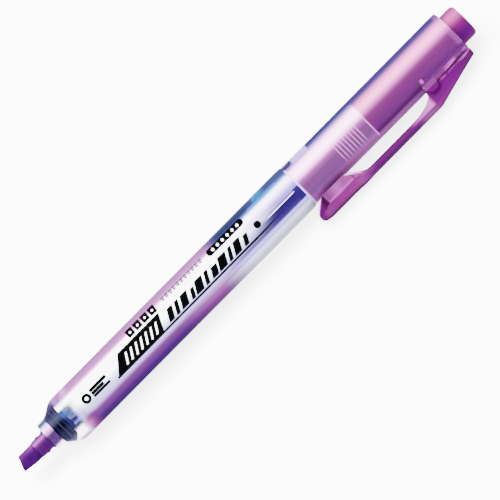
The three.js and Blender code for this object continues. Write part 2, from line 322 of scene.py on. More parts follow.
# ------------------------------------------------------------------ palette
# the scene-linear light that shows as each colour of the palette (0-255, as seen)
SEEN = {
    (8, 11, 44): (0.00556, 0.00303, 0.0331), (22, 24, 66): (0.0139, 0.00832, 0.0638), (22, 30, 62): (0.0134, 0.0141, 0.0573), (30, 36, 70): (0.0196, 0.0188, 0.0697),
    (42, 53, 88): (0.0315, 0.0367, 0.103), (44, 42, 118): (0.0367, 0.0136, 0.183), (50, 66, 134): (0.0432, 0.043, 0.237), (50, 72, 140): (0.0438, 0.0514, 0.262),
    (50, 74, 122): (0.042, 0.0629, 0.195), (55, 54, 140): (0.0514, 0.0208, 0.262), (56, 66, 130): (0.0507, 0.0446, 0.222), (58, 57, 147): (0.0562, 0.0221, 0.295),
    (58, 63, 128): (0.0539, 0.0407, 0.215), (58, 70, 116): (0.0521, 0.057, 0.175), (60, 14, 62): (0.0578, 0.00233, 0.057), (60, 58, 130): (0.0575, 0.031, 0.222),
    (60, 61, 99): (0.0549, 0.0459, 0.13), (60, 72, 140): (0.0567, 0.0509, 0.263), (60, 76, 140): (0.0559, 0.0595, 0.263), (62, 24, 100): (0.0606, 0.00162, 0.133),
    (62, 24, 106): (0.0609, 0.0002, 0.148), (62, 38, 106): (0.06, 0.0127, 0.148), (62, 60, 112): (0.0592, 0.0408, 0.163), (66, 18, 84): (0.0672, 0.000988, 0.0964),
    (66, 26, 108): (0.0668, 0.000897, 0.153), (66, 40, 112): (0.0665, 0.0131, 0.164), (70, 68, 150): (0.0742, 0.0382, 0.31), (70, 72, 145): (0.0728, 0.0483, 0.285),
    (70, 150, 195): (0.0002, 0.306, 0.793), (72, 65, 133): (0.0763, 0.0412, 0.234), (75, 78, 152): (0.0814, 0.0559, 0.324), (78, 28, 82): (0.0899, 0.0086, 0.092),
    (78, 32, 122): (0.0899, 0.00196, 0.196), (78, 96, 148): (0.083, 0.102, 0.303), (79, 48, 133): (0.0916, 0.015, 0.234), (80, 92, 122): (0.0874, 0.102, 0.194),
    (80, 108, 180): (0.0777, 0.11, 0.555), (84, 76, 136): (0.0992, 0.0603, 0.247), (84, 78, 162): (0.101, 0.0477, 0.387), (85, 48, 141): (0.105, 0.0114, 0.267),
    (88, 30, 96): (0.111, 0.00733, 0.123), (90, 25, 130): (0.116, 0.0002, 0.212), (90, 36, 122): (0.115, 0.00556, 0.196), (90, 98, 134): (0.108, 0.112, 0.24),
    (92, 36, 138): (0.122, 0.0002, 0.252), (92, 110, 176): (0.105, 0.119, 0.517), (95, 93, 155): (0.123, 0.0874, 0.346), (95, 134, 191): (0.0857, 0.206, 0.726),
    (96, 26, 100): (0.131, 0.00327, 0.133), (96, 30, 104): (0.131, 0.00543, 0.142), (96, 42, 140): (0.133, 0.00426, 0.263), (96, 92, 139): (0.124, 0.0942, 0.261),
    (96, 205, 232): (0.0002, 0.561, 1.5), (100, 30, 106): (0.14, 0.00476, 0.148), (100, 42, 142): (0.143, 0.00322, 0.272), (100, 105, 165): (0.131, 0.112, 0.417),
    (102, 45, 140): (0.148, 0.00757, 0.263), (103, 62, 153): (0.151, 0.0234, 0.33), (103, 93, 170): (0.146, 0.0735, 0.454), (104, 30, 112): (0.151, 0.0031, 0.164),
    (104, 50, 142): (0.153, 0.0129, 0.272), (105, 72, 140): (0.152, 0.0483, 0.265), (110, 100, 158): (0.163, 0.101, 0.367), (110, 108, 165): (0.16, 0.12, 0.421),
    (110, 110, 170): (0.159, 0.121, 0.465), (110, 112, 150): (0.158, 0.145, 0.321), (110, 128, 200): (0.135, 0.148, 0.888), (112, 30, 122): (0.174, 0.000216, 0.195),
    (112, 32, 120): (0.174, 0.0024, 0.189), (112, 32, 138): (0.176, 0.0002, 0.247), (112, 36, 118): (0.174, 0.00655, 0.182), (112, 62, 138): (0.174, 0.0315, 0.255),
    (112, 62, 150): (0.178, 0.025, 0.313), (112, 80, 150): (0.173, 0.0584, 0.315), (112, 116, 160): (0.163, 0.151, 0.387), (112, 120, 150): (0.162, 0.173, 0.322),
    (114, 84, 154): (0.181, 0.0638, 0.339), (116, 34, 128): (0.188, 0.00103, 0.216), (116, 40, 138): (0.19, 0.00248, 0.255), (116, 115, 186): (0.178, 0.116, 0.642),
    (117, 34, 132): (0.192, 0.0002, 0.23), (117, 50, 130): (0.19, 0.0175, 0.223), (117, 72, 156): (0.194, 0.0372, 0.35), (117, 97, 153): (0.188, 0.096, 0.336),
    (118, 33, 139): (0.196, 0.0002, 0.251), (118, 42, 130): (0.195, 0.00809, 0.223), (118, 44, 122): (0.193, 0.0135, 0.195), (118, 80, 135): (0.191, 0.0659, 0.243),
    (118, 88, 164): (0.197, 0.0644, 0.407), (119, 60, 137): (0.199, 0.0286, 0.251), (120, 34, 136): (0.202, 0.0002, 0.242), (120, 48, 128): (0.201, 0.0155, 0.216),
    (120, 50, 125): (0.2, 0.0195, 0.205), (120, 112, 140): (0.192, 0.149, 0.268), (120, 118, 160): (0.191, 0.157, 0.389), (120, 118, 176): (0.192, 0.14, 0.53),
    (120, 120, 175): (0.19, 0.149, 0.522), (120, 124, 165): (0.188, 0.177, 0.429), (120, 138, 198): (0.163, 0.201, 0.876), (121, 44, 126): (0.203, 0.0118, 0.209),
    (122, 44, 130): (0.208, 0.0099, 0.223), (124, 38, 134): (0.216, 0.00169, 0.24), (124, 127, 165): (0.202, 0.19, 0.431), (125, 40, 165): (0.222, 0.0002, 0.364),
    (125, 88, 150): (0.218, 0.0738, 0.318), (125, 124, 170): (0.208, 0.17, 0.476), (125, 124, 190): (0.209, 0.142, 0.715), (126, 52, 134): (0.221, 0.0176, 0.24),
    (126, 66, 142): (0.222, 0.0347, 0.275), (128, 62, 166): (0.241, 0.0099, 0.417), (130, 83, 159): (0.242, 0.0546, 0.373), (130, 98, 158): (0.239, 0.092, 0.371),
    (130, 130, 180): (0.228, 0.183, 0.588), (130, 132, 176): (0.225, 0.199, 0.545), (132, 48, 142): (0.247, 0.00812, 0.273), (134, 46, 136): (0.252, 0.00842, 0.248),
    (134, 134, 176): (0.244, 0.207, 0.548), (134, 158, 200): (0.197, 0.344, 0.971), (135, 80, 151): (0.26, 0.0539, 0.324), (137, 77, 156): (0.272, 0.0432, 0.354),
    (138, 60, 134): (0.268, 0.0279, 0.24), (138, 64, 140): (0.27, 0.031, 0.266), (138, 73, 152): (0.275, 0.0392, 0.328), (140, 77, 154): (0.285, 0.0443, 0.342),
    (140, 84, 160): (0.288, 0.0539, 0.382), (140, 116, 162): (0.285, 0.142, 0.407), (140, 132, 158): (0.277, 0.214, 0.382), (140, 150, 200): (0.252, 0.265, 0.962),
    (142, 60, 140): (0.288, 0.0242, 0.266), (142, 67, 148): (0.291, 0.0307, 0.306), (142, 84, 154): (0.295, 0.0589, 0.344), (143, 72, 153): (0.299, 0.0352, 0.334),
    (143, 83, 162): (0.304, 0.0488, 0.396), (143, 97, 161): (0.303, 0.0834, 0.394), (144, 84, 160): (0.307, 0.0524, 0.383), (146, 54, 145): (0.309, 0.0123, 0.289),
    (146, 161, 233): (0.207, 0.194, 2.51), (149, 95, 166): (0.339, 0.0704, 0.433), (150, 50, 150): (0.331, 0.00241, 0.316), (150, 68, 148): (0.33, 0.03, 0.307),
    (150, 80, 140): (0.327, 0.0578, 0.268), (150, 84, 150): (0.331, 0.0597, 0.321), (150, 98, 165): (0.344, 0.0792, 0.425), (150, 109, 166): (0.344, 0.111, 0.437),
    (150, 110, 165): (0.344, 0.115, 0.431), (150, 130, 180): (0.349, 0.173, 0.596), (150, 148, 184): (0.334, 0.276, 0.67), (150, 190, 225): (0.077, 0.797, 2.17),
    (151, 79, 151): (0.338, 0.0473, 0.327), (152, 60, 143): (0.338, 0.02, 0.281), (152, 62, 144): (0.338, 0.0224, 0.286), (154, 70, 146): (0.349, 0.0337, 0.297),
    (154, 105, 170): (0.373, 0.0916, 0.473), (155, 96, 167): (0.374, 0.0697, 0.441), (158, 84, 156): (0.383, 0.0507, 0.359), (158, 92, 162): (0.389, 0.0635, 0.404),
    (158, 94, 145): (0.376, 0.0838, 0.296), (160, 92, 158): (0.4, 0.0662, 0.376), (160, 105, 166): (0.409, 0.0942, 0.439), (160, 118, 175): (0.421, 0.125, 0.532),
    (163, 143, 190): (0.458, 0.218, 0.771), (168, 104, 165): (0.469, 0.0878, 0.433), (170, 80, 200): (0.498, 0.0002, 0.726), (170, 104, 172): (0.494, 0.0752, 0.498),
    (170, 110, 172): (0.498, 0.0937, 0.503), (170, 140, 178): (0.517, 0.218, 0.59), (173, 87, 157): (0.494, 0.0472, 0.373), (173, 126, 184): (0.553, 0.133, 0.654),
    (175, 116, 184): (0.569, 0.0907, 0.645), (177, 135, 187): (0.604, 0.165, 0.715), (178, 124, 184): (0.604, 0.119, 0.654), (178, 140, 186): (0.619, 0.197, 0.705),
    (178, 148, 180): (0.613, 0.263, 0.624), (178, 149, 195): (0.639, 0.233, 0.888), (178, 188, 216): (0.555, 0.699, 1.73), (180, 112, 172): (0.596, 0.092, 0.508),
    (183, 128, 186): (0.673, 0.127, 0.696), (185, 115, 170): (0.651, 0.1, 0.494), (185, 138, 190): (0.719, 0.164, 0.778), (186, 187, 206): (0.746, 0.705, 1.3),
    (188, 128, 182): (0.732, 0.128, 0.642), (188, 154, 196): (0.801, 0.257, 0.926), (188, 180, 220): (0.828, 0.471, 1.93), (188, 182, 226): (0.824, 0.46, 2.35),
    (188, 190, 196): (0.782, 0.816, 0.98), (190, 135, 190): (0.793, 0.139, 0.782), (190, 142, 196): (0.82, 0.162, 0.909), (190, 150, 194): (0.824, 0.227, 0.88),
    (190, 150, 195): (0.828, 0.223, 0.901), (190, 160, 205): (0.867, 0.275, 1.19), (190, 165, 192): (0.836, 0.378, 0.859), (190, 198, 218): (0.782, 0.966, 1.93),
    (192, 150, 197): (0.867, 0.215, 0.944), (195, 160, 198): (0.944, 0.299, 0.994), (196, 150, 196): (0.939, 0.211, 0.926), (196, 197, 207): (0.985, 0.975, 1.37),
    (197, 155, 203): (1, 0.222, 1.12), (197, 195, 234): (1.04, 0.667, 3.35), (198, 155, 202): (1.02, 0.224, 1.1), (198, 156, 202): (1.02, 0.233, 1.1),
    (199, 168, 214): (1.13, 0.296, 1.57), (199, 177, 208): (1.11, 0.469, 1.36), (200, 130, 179): (0.918, 0.123, 0.616), (200, 150, 205): (1.07, 0.161, 1.18),
    (200, 168, 214): (1.15, 0.293, 1.57), (200, 175, 212): (1.15, 0.409, 1.52), (200, 202, 210): (1.1, 1.14, 1.52), (201, 202, 211): (1.14, 1.14, 1.57),
    (203, 187, 221): (1.3, 0.569, 2.09), (203, 198, 224): (1.26, 0.872, 2.41), (205, 132, 194): (1.08, 0.0803, 0.872), (205, 150, 205): (1.19, 0.146, 1.19),
    (205, 180, 215): (1.34, 0.46, 1.7), (206, 168, 210): (1.31, 0.302, 1.41), (206, 190, 210): (1.36, 0.722, 1.5), (207, 177, 206): (1.35, 0.458, 1.3),
    (208, 207, 234): (1.45, 1.12, 3.68), (208, 208, 226): (1.44, 1.29, 2.71), (209, 165, 202): (1.35, 0.296, 1.14), (209, 167, 209): (1.4, 0.284, 1.38),
    (209, 204, 228): (1.54, 1.05, 2.88), (210, 132, 192): (1.18, 0.071, 0.843), (213, 208, 223): (1.75, 1.3, 2.45), (213, 214, 224): (1.7, 1.69, 2.59),
    (215, 180, 215): (1.75, 0.415, 1.73), (218, 171, 216): (1.84, 0.242, 1.75), (218, 218, 233): (2.07, 1.86, 3.8), (218, 222, 242): (1.94, 2.08, 5.78),
    (219, 220, 230): (2.15, 2.12, 3.37), (220, 160, 198): (1.7, 0.21, 1.05), (220, 162, 200): (1.73, 0.219, 1.11), (220, 164, 199): (1.74, 0.247, 1.08),
    (221, 184, 214): (2.09, 0.473, 1.72), (222, 160, 216): (1.93, 0.0905, 1.71), (222, 184, 222): (2.23, 0.394, 2.2), (224, 182, 213): (2.23, 0.421, 1.67),
    (224, 190, 220): (2.4, 0.545, 2.12), (225, 210, 230): (2.79, 1.24, 3.27), (226, 196, 222): (2.65, 0.686, 2.32), (226, 212, 236): (3.01, 1.23, 4.26),
    (226, 213, 232): (2.95, 1.39, 3.63), (228, 206, 224): (3, 1.08, 2.59), (231, 226, 243): (3.77, 2.39, 6.44), (232, 232, 244): (3.8, 3.45, 6.97),
    (232, 236, 246): (3.6, 4.38, 7.95), (234, 237, 242): (4.1, 4.79, 6.44), (236, 226, 240): (4.77, 2.44, 5.59), (238, 197, 222): (3.91, 0.566, 2.42),
    (238, 210, 228): (4.44, 1.11, 3.12), (240, 222, 240): (5.62, 1.79, 5.54), (241, 221, 236): (5.67, 1.8, 4.57), (241, 231, 240): (6.14, 3.21, 5.75),
    (242, 212, 228): (5.26, 1.16, 3.17), (245, 243, 248): (7.95, 6.62, 9.55), (246, 230, 246): (8.14, 2.53, 7.99), (246, 231, 243): (8.02, 2.93, 6.81),
    (246, 236, 244): (8.25, 4.14, 7.31), (246, 249, 252): (8.06, 10.1, 13.4), (248, 244, 250): (9.73, 6.87, 11), (250, 248, 252): (11.4, 9.11, 13.4),
    (251, 240, 245): (11.6, 5.21, 7.91), (252, 242, 248): (12.9, 5.75, 9.59), (252, 245, 250): (13.3, 7.17, 11.2), (252, 253, 253): (13, 14.1, 14.2),
    (254, 244, 250): (15.6, 6.41, 11.3), (254, 252, 253): (16, 12.7, 14.3),
}
# light that falls on each side of the pen, for a matt surface of albedo 1
FALL = [(-180, 6.5), (-120, 7.8), (-90, 8.5), (-66, 8.65), (-52, 8.7), (-42, 8.35), (-25, 8.15), (0, 8.7), (28, 9.4), (46, 9.7), (57, 9.75), (70, 9.1), (90, 8.8), (120, 8.2), (180, 6.5)]
FALL_END = [(-180, 6.8), (-60, 7.1), (-30, 7.3), (0, 8.1), (30, 8.7), (60, 9.2), (90, 9.0), (180, 6.8)]


def fall(psi, light=FALL):
    for (a, u), (b, v) in zip(light, light[1:]):
        if a <= psi <= b:
            return u + (v - u) * (psi - a) / (b - a)
    return light[0][1]


def tone(c, psi=0.0, k=1.0, light=FALL):
    """albedo of a surface on side psi that shows as palette colour c through layers that pass k of the light"""
    return tuple(max(0.00015, min(0.95, v / (fall(psi, light) * k))) for v in SEEN[c])


def pane(c, floor_light=9.5):
    """tint of a clear piece over the pale floor that shows as palette colour c"""
    return tuple(max(0.0003, min(0.99, v / floor_light)) for v in SEEN[c])


def around(stops, k=1.0, r=None, light=FALL):
    """ramp stops round the pen; with r the first number of a stop is a height q in mm on a turned piece of radius r"""
    out = []
    for a, c in stops:
        psi = a if r is None else math.degrees(math.asin(max(-1, min(1, a / r))))
        out.append((wrap(psi), tone(c, psi, k, light)))
    return sorted(out, key=lambda e: e[0])


def levels(stops, r, k=1.0):
    """ramp stops by height q (mm, -6 to 6) on a turned piece of about radius r"""
    return sorted([((a + 6) / 12, tone(c, math.degrees(math.asin(max(-1, min(1, a / r)))), k)) for a, c in stops], key=lambda e: e[0])


# ------------------------------------------------------------------ materials
def clear_plastic(name, tint_ramp, rough=0.03, gloss=(0.3, 0.3, 0.32), painted_layer=None, s_tint=()):
    """clear moulded plastic: refracting, tinted round the barrel, with fine flow lines; the optional function (t, s,
    psi, x, q) gives the weight and colour of a milky share, into which light and shade are painted
    """
    t = NT(name)
    vec, s, psi, q = t.coords()
    x = t.math("ADD", t.math("DIVIDE", psi, 360.0), 0.5)
    base = t.ramp(x, tint_ramp)
    for a, b, soft, c in s_tint:
        base = t.mix(t.band(s, a, b, soft), base, c, "MULTIPLY")
    t.vec = vec
    fine = t.noise(vec, 900.0, 2.0)
    flow = t.noise(vec, 70.0, 3.0, 0.5, (0.08, 1, 1))
    g = t.math("ADD", t.math("MULTIPLY", flow, 0.12), 0.93)
    base = t.mix(1.0, base, g, "MULTIPLY")
    bump = t.bump(fine, 0.02, 0.00005)
    glass = t.principled(color=base, rough=t.math("ADD", t.math("MULTIPLY", fine, 0.015), rough), ior=1.42, trans=1.0, spec_tint=gloss, normal=bump)
    if painted_layer:
        w, c = painted_layer(t, s, psi, x, q)
        d = t.principled(color=c, rough=0.4, spec=0.0, normal=bump)
        m = t.n("ShaderNodeMixShader")
        t.val(m.inputs[0], w)
        t.l(glass, m.inputs[1]); t.l(d, m.inputs[2])
        glass = m.outputs[0]
    return t.out(glass)


def moulded(name, stops, rough=0.22, spec=0.06, second=None, streak=0.3, by_q=False):
    """coloured moulded plastic: its colour changes round the piece, with flow streaks and a fine skin; second = (stops, s0, s1) takes over from s0 to s1"""
    t = NT(name)
    vec, s, psi, q = t.coords()
    x = t.math("ADD", t.math("DIVIDE", q, 12.0), 0.5) if by_q else t.math("ADD", t.math("DIVIDE", psi, 360.0), 0.5)
    base = t.ramp(x, stops)
    if second:
        base = t.mix(t.step(s, second[1], second[2]), base, t.ramp(x, second[0]))
    flow = t.noise(vec, 90.0, 3.0, 0.5, (0.12, 1, 1))
    base = t.mix(1.0, base, t.math("ADD", t.math("MULTIPLY", flow, streak), 1.0 - streak * 0.5), "MULTIPLY")
    fine = t.noise(vec, 1500.0, 2.0)
    bump = t.bump(t.math("ADD", t.math("MULTIPLY", flow, 0.3), t.math("MULTIPLY", fine, 0.3)), 0.06, 0.0001)
    return t.out(t.principled(color=base, rough=t.math("ADD", t.math("MULTIPLY", fine, 0.08), rough), spec=spec, spec_tint=base, normal=bump))


def rubber(name, c, c2):
    t = NT(name)
    vec, s, psi, q = t.coords()
    n1, n2 = t.noise(vec, 700.0, 6.0), t.noise(vec, 120.0, 3.0)
    base = t.mix(n2, c, c2)
    return t.out(t.principled(color=base, rough=t.math("ADD", t.math("MULTIPLY", n1, 0.2), 0.35), spec=0.02, spec_tint=base, normal=t.bump(n1, 0.3, 0.0001)))


def metal(name):
    t = NT(name)
    vec, s, psi, q = t.coords()
    n1 = t.noise(vec, 2500.0, 4.0, 0.6, (1, 1, 1))
    base = t.mix(n1, (0.30, 0.31, 0.34), (0.46, 0.47, 0.50))
    return t.out(t.principled(color=base, metal=1.0, rough=t.math("ADD", t.math("MULTIPLY", n1, 0.2), 0.15), normal=t.bump(n1, 0.15, 0.00005)))


def felt(name, lo_c, hi_c, mid_c, stops=None):
    t = NT(name)
    vec, s, psi, q = t.coords()
    fib = t.noise(vec, 2200.0, 6.0, 0.65, (0.25, 1, 1))
    blot = t.noise(vec, 420.0, 4.0)
    base = t.ramp(t.math("ADD", t.math("MULTIPLY", fib, 0.6), t.math("MULTIPLY", blot, 0.4)), [(0.3, lo_c), (0.5, mid_c), (0.72, hi_c)])
    if stops:
        # painted shade below and a pale painted highlight along the upper edge of the block, stronger towards the
        # holder
        edge_ = t.step(s, 2.6, 4.8)
        lit_and_shaded = t.ramp(t.math("ADD", t.math("DIVIDE", t.math("ADD", q, t.math("MULTIPLY", t.math("SUBTRACT", blot, 0.5), 0.5)), 12.0), 0.5), stops)
        base = t.mix(t.math("ADD", t.math("MULTIPLY", edge_, 0.45), 0.45), base, lit_and_shaded)
        base = t.mix(1.0, base, t.math("ADD", t.math("MULTIPLY", fib, 0.9), 0.55), "MULTIPLY")
    return t.out(t.principled(color=base, rough=t.math("ADD", t.math("MULTIPLY", fib, 0.25), 0.55), spec=0.0, normal=t.bump(fib, 0.7, 0.00012)))


# knock tube, heights q on a radius of 4.25: a pale pink side that is a painted highlight, a purple side darkening with
# painted shade towards its lower edge; paler in the front part, which is seen through two shells, where their milky
# veil is painted in
TUBE_ONE = [(-4.2, (119, 60, 137)), (-3.85, (137, 77, 156)), (-3.24, (143, 83, 162)), (-2.64, (140, 77, 154)), (-1.73, (138, 73, 152)), (-1.13, (143, 72, 153)), (-0.53, (142, 67, 148)), (0.0, (151, 79, 151)),
            (0.53, (188, 128, 182)), (1.28, (224, 182, 213)), (2.04, (238, 210, 228)), (2.64, (242, 212, 228)), (3.54, (238, 197, 222)), (4.2, (163, 143, 190))]
TUBE_TWO = [(-4.2, (198, 155, 202)), (-3.85, (192, 150, 197)), (-3.24, (177, 135, 187)), (-2.64, (160, 118, 175)), (-1.73, (154, 105, 170)), (-1.13, (149, 95, 166)), (-0.53, (142, 84, 154)), (0.0, (160, 105, 166)),
            (0.53, (209, 167, 209)), (1.28, (241, 221, 236)), (2.04, (251, 240, 245)), (2.64, (254, 244, 250)), (3.54, (246, 231, 243)), (4.2, (188, 180, 220))]
BACK_TUBE = [(wrap(-180), tone((137, 77, 156), 180, 0.5)), (wrap(-110), tone((119, 60, 137), -90, 0.5))]
BACK_TUBE2 = [(wrap(115), tone((163, 143, 190), 90, 0.5)), (wrap(180), tone((137, 77, 156), 180, 0.5))]
K1, K2 = 0.46, 0.19
M_TUBE = moulded("knock_purple", BACK_TUBE + around(TUBE_TWO, K2, 4.25) + BACK_TUBE2, second=(BACK_TUBE + around(TUBE_ONE, K1, 4.25) + BACK_TUBE2, 110.6, 111.4), spec=0.02, streak=0.2)
# button: the pale pink band across its upper side is a painted highlight, the deep purple below is painted shade
M_BUTTON = moulded("button_pink", around([
    (-180, (118, 33, 139)), (-72, (112, 36, 118)), (-64, (118, 42, 130)), (-50, (120, 34, 136)), (-38, (112, 32, 138)), (-24, (116, 40, 138)), (-15, (132, 48, 142)), (-7, (146, 54, 145)), (0, (152, 60, 143)),
    (7, (173, 87, 157)), (17, (200, 130, 179)), (29, (220, 162, 200)), (38, (220, 164, 199)), (47, (220, 160, 198)), (56, (210, 132, 192)), (64, (185, 115, 170)), (70, (158, 94, 145)), (90, (150, 80, 140)), (180, (118, 33, 139))], light=FALL_END),
    rough=0.25, spec=0.003, streak=0.25)
# nib holder, heights q: purple, with a painted pink highlight band along its upper side
M_HOLDER = moulded("holder_pink", levels([
    (-2.7, (112, 80, 150)), (-2.3, (90, 36, 122)), (-1.8, (100, 42, 142)), (-0.9, (102, 45, 140)), (-0.1, (104, 50, 142)), (0.25, (112, 62, 150)), (0.65, (150, 98, 165)), (0.9, (190, 135, 190)), (1.25, (218, 171, 216)), (1.6, (200, 150, 205)),
    (1.85, (150, 110, 165)), (2.2, (118, 80, 135)), (2.7, (125, 88, 150))], 2.6),
    rough=0.25, spec=0.003, by_q=True)

# clip: magenta, translucent; its outer face is painted darker than its flanks, painted shade by which way each face
# turns, and the flanks' pale stretches are painted highlights
t = NT("clip_magenta")
tcn = t.n("ShaderNodeTexCoord")
vec, s_, psi_, q_ = t.coords()
dotn = t.n("ShaderNodeVectorMath", operation="DOT_PRODUCT")
t.l(tcn.outputs["Normal"], dotn.inputs[0]); dotn.inputs[1].default_value = tuple(D)
outer = t.step(dotn.outputs["Value"], 0.35, 0.8)
sep = t.n("ShaderNodeSeparateXYZ"); t.l(vec, sep.inputs[0])
hh = t.math("MULTIPLY", t.math("ADD", t.math("MULTIPLY", t.math("SUBTRACT", sep.outputs[1], YC), D.y), t.math("MULTIPLY", t.math("SUBTRACT", sep.outputs[2], ZC), D.z)), 1000.0)
ww = t.math("MULTIPLY", t.math("ADD", t.math("MULTIPLY", t.math("SUBTRACT", sep.outputs[1], YC), W.y), t.math("MULTIPLY", t.math("SUBTRACT", sep.outputs[2], ZC), W.z)), 1000.0)
sx = t.math("DIVIDE", t.math("SUBTRACT", s_, 87.0), 53.0)
def sr(s):
    return (s - 87.0) / 53.0
CP = -66


def ct(c):
    return tone(c, CP, 0.84)


side = t.ramp(sx, [(sr(a), ct(c)) for a, c in (
    (87.0, (96, 30, 104)), (89.6, (112, 30, 122)), (90.3, (88, 30, 96)), (91.0, (158, 92, 162)), (92.5, (150, 84, 150)), (95.0, (183, 128, 186)), (97.0, (168, 104, 165)),
    (100.5, (180, 112, 172)), (102.5, (150, 84, 150)), (105.5, (118, 44, 122)), (116.5, (121, 44, 126)), (119.8, (196, 150, 196)), (123.6, (209, 165, 202)),
    (124.5, (122, 44, 130)), (128, (124, 38, 134)), (133, (117, 34, 132)), (138, (100, 30, 106)))])
face = t.ramp(sx, [(sr(a), ct(c)) for a, c in (
    (87.0, (104, 30, 112)), (88.6, (112, 32, 120)), (90.0, (150, 68, 148)), (92.5, (142, 60, 140)), (94.5, (152, 62, 144)), (98.5, (154, 70, 146)), (100.5, (158, 84, 156)), (102.5, (138, 64, 140)),
    (105.5, (120, 48, 128)), (117.5, (117, 50, 130)), (121.5, (150, 68, 148)), (126, (134, 46, 136)), (133, (116, 34, 128)), (138.5, (96, 26, 100)))])
base = t.mix(outer, side, face)
# dark lines along the long edges and along the middle of the arm
arm = t.band(s_, 103.0, 119.5, 1.5)
mid_line = t.math("MULTIPLY", t.math("MULTIPLY", t.band(ww, -0.55, 0.35, 0.25), outer), arm)
base = t.mix(t.math("MULTIPLY", mid_line, 0.95), base, ct((66, 18, 84)))
pad_in = t.math("SUBTRACT", 1.0, t.step(s_, 100.0, 103.0))
rim = t.math("MULTIPLY", t.math("ADD", t.math("MULTIPLY", pad_in, t.step(ww, 0.9, 1.7)), t.math("MULTIPLY", t.math("SUBTRACT", 1.0, pad_in), t.math("MULTIPLY", t.step(ww, 0.75, 1.55), 0.85))), outer)
base = t.mix(rim, base, ct((78, 28, 82)))
# the step line along the pad's side; a pale painted highlight band high on that side; painted shade along its lower
# edge, next to the barrel, and a darker line along its outer edge
stepl = t.math("MULTIPLY", t.math("MULTIPLY", t.band(hh, 8.5, 8.75, 0.1), t.band(s_, 89.5, 100.5, 0.4)), t.math("SUBTRACT", 1.0, outer))
base = t.mix(t.math("MULTIPLY", stepl, 0.5), base, ct((150, 84, 150)))
notout = t.math("SUBTRACT", 1.0, outer)
side_highlight = t.math("MULTIPLY", t.math("MULTIPLY", t.band(hh, 9.4, 9.82, 0.12), t.band(s_, 91.9, 99.5, 0.3)), notout)
base = t.mix(t.math("MULTIPLY", side_highlight, 0.7), base, ct((205, 132, 194)))
lip = t.math("MULTIPLY", t.math("MULTIPLY", t.band(hh, 6.6, 7.05, 0.1), t.band(s_, 91.9, 98.2, 0.3)), notout)
base = t.mix(t.math("MULTIPLY", lip, 0.55), base, ct((120, 50, 125)))
edge = t.math("MULTIPLY", t.math("MULTIPLY", t.band(hh, 9.98, 10.5, 0.1), t.band(s_, 91.0, 101.0, 0.5)), notout)
base = t.mix(t.math("MULTIPLY", edge, 0.85), base, ct((138, 60, 134)))
for x0, x1, f, cc in ((90.4, 91.55, 0.95, (60, 14, 62)), (99.2, 99.7, 0.7, (126, 52, 134))):
    base = t.mix(t.math("MULTIPLY", t.math("MULTIPLY", t.band(s_, x0, x1, 0.15), t.band(hh, 7.0, 10.0, 0.25)), f), base, ct(cc))
# the root's flanks are paler along their inner edge, where it sits in the barrel's saddle: the pale colours and mottled
# painted highlights of the clear rails beside it
saddle = t.math("MULTIPLY", t.math("MULTIPLY", t.math("SUBTRACT", 1.0, t.step(hh, 7.35, 7.75)), t.band(s_, 126.5, 139.5, 0.6)), notout)
base = t.mix(t.math("MULTIPLY", saddle, 0.8), base, t.mix(t.step(t.noise(vec, 420.0, 2.0), 0.42, 0.6), ct((160, 92, 158)), ct((205, 150, 205))))
# painted highlights along the edges where the pad slopes down to the barrel on both sides
sl1 = t.math("SUBTRACT", hh, t.math("ADD", 6.8, t.math("MULTIPLY", t.math("MAXIMUM", t.math("SUBTRACT", s_, 97.9), 0.0), 0.78)))
sl2 = t.math("SUBTRACT", hh, t.math("ADD", 6.8, t.math("MULTIPLY", t.math("MAXIMUM", t.math("SUBTRACT", 91.3, s_), 0.0), 0.82)))
pale = t.math("MAXIMUM", t.math("MULTIPLY", t.band(sl1, -0.6, 0.3, 0.12), t.band(s_, 98.4, 101.5, 0.35)), t.math("MULTIPLY", t.band(sl2, -0.6, 0.22, 0.1), t.band(s_, 87.8, 91.0, 0.3)))
base = t.mix(t.math("MULTIPLY", pale, 0.9), base, ct((226, 196, 222)))
flow = t.noise(vec, 110.0, 3.0, 0.5, (0.2, 1, 1))
fine = t.noise(vec, 1500.0, 2.0)
base = t.mix(1.0, base, t.math("ADD", t.math("MULTIPLY", flow, 0.8), 0.6), "MULTIPLY")
bump = t.bump(t.math("ADD", t.math("MULTIPLY", flow, 0.5), t.math("MULTIPLY", fine, 0.2)), 0.08, 0.0001)
body = t.principled(color=base, rough=0.22, spec=0.001, spec_tint=base, normal=bump)
cg = t.principled(color=t.mix(t.band(s_, 103.5, 124.2, 1.5), pane((150, 50, 150)), pane((222, 160, 216))), rough=0.03, ior=1.35, trans=1.0, spec_tint=(0.2, 0.02, 0.2), normal=bump)
m_ = t.n("ShaderNodeMixShader")
t.val(m_.inputs[0], t.math("SUBTRACT", 1.0, t.math("MULTIPLY", t.band(s_, 119.5, 124.2, 1.0), 0.15)))
t.l(cg, m_.inputs[1]); t.l(body, m_.inputs[2])
M_CLIP = t.out(m_.outputs[0])

M_SEAL = rubber("seal_navy", tone((8, 11, 44), 0, 0.5), tone((22, 24, 66), 0, 0.5))
M_STEEL = metal("steel_wire")
M_NIB = felt("nib_felt", tone((62, 24, 100), 0, 1.03), tone((128, 62, 166), 0, 1.03), tone((92, 36, 138), 0, 1.03),
             levels([(-2.2, (62, 24, 106)), (-1.2, (66, 26, 108)), (-0.4, (78, 32, 122)), (0.3, (96, 42, 140)), (0.8, (128, 62, 166)), (1.3, (175, 116, 184)), (1.7, (178, 124, 184)), (2.1, (140, 84, 160))], 3.0))
M_FIBRE = felt("ink_fibre", tone((90, 25, 130)), tone((170, 80, 200)), tone((125, 40, 165)))
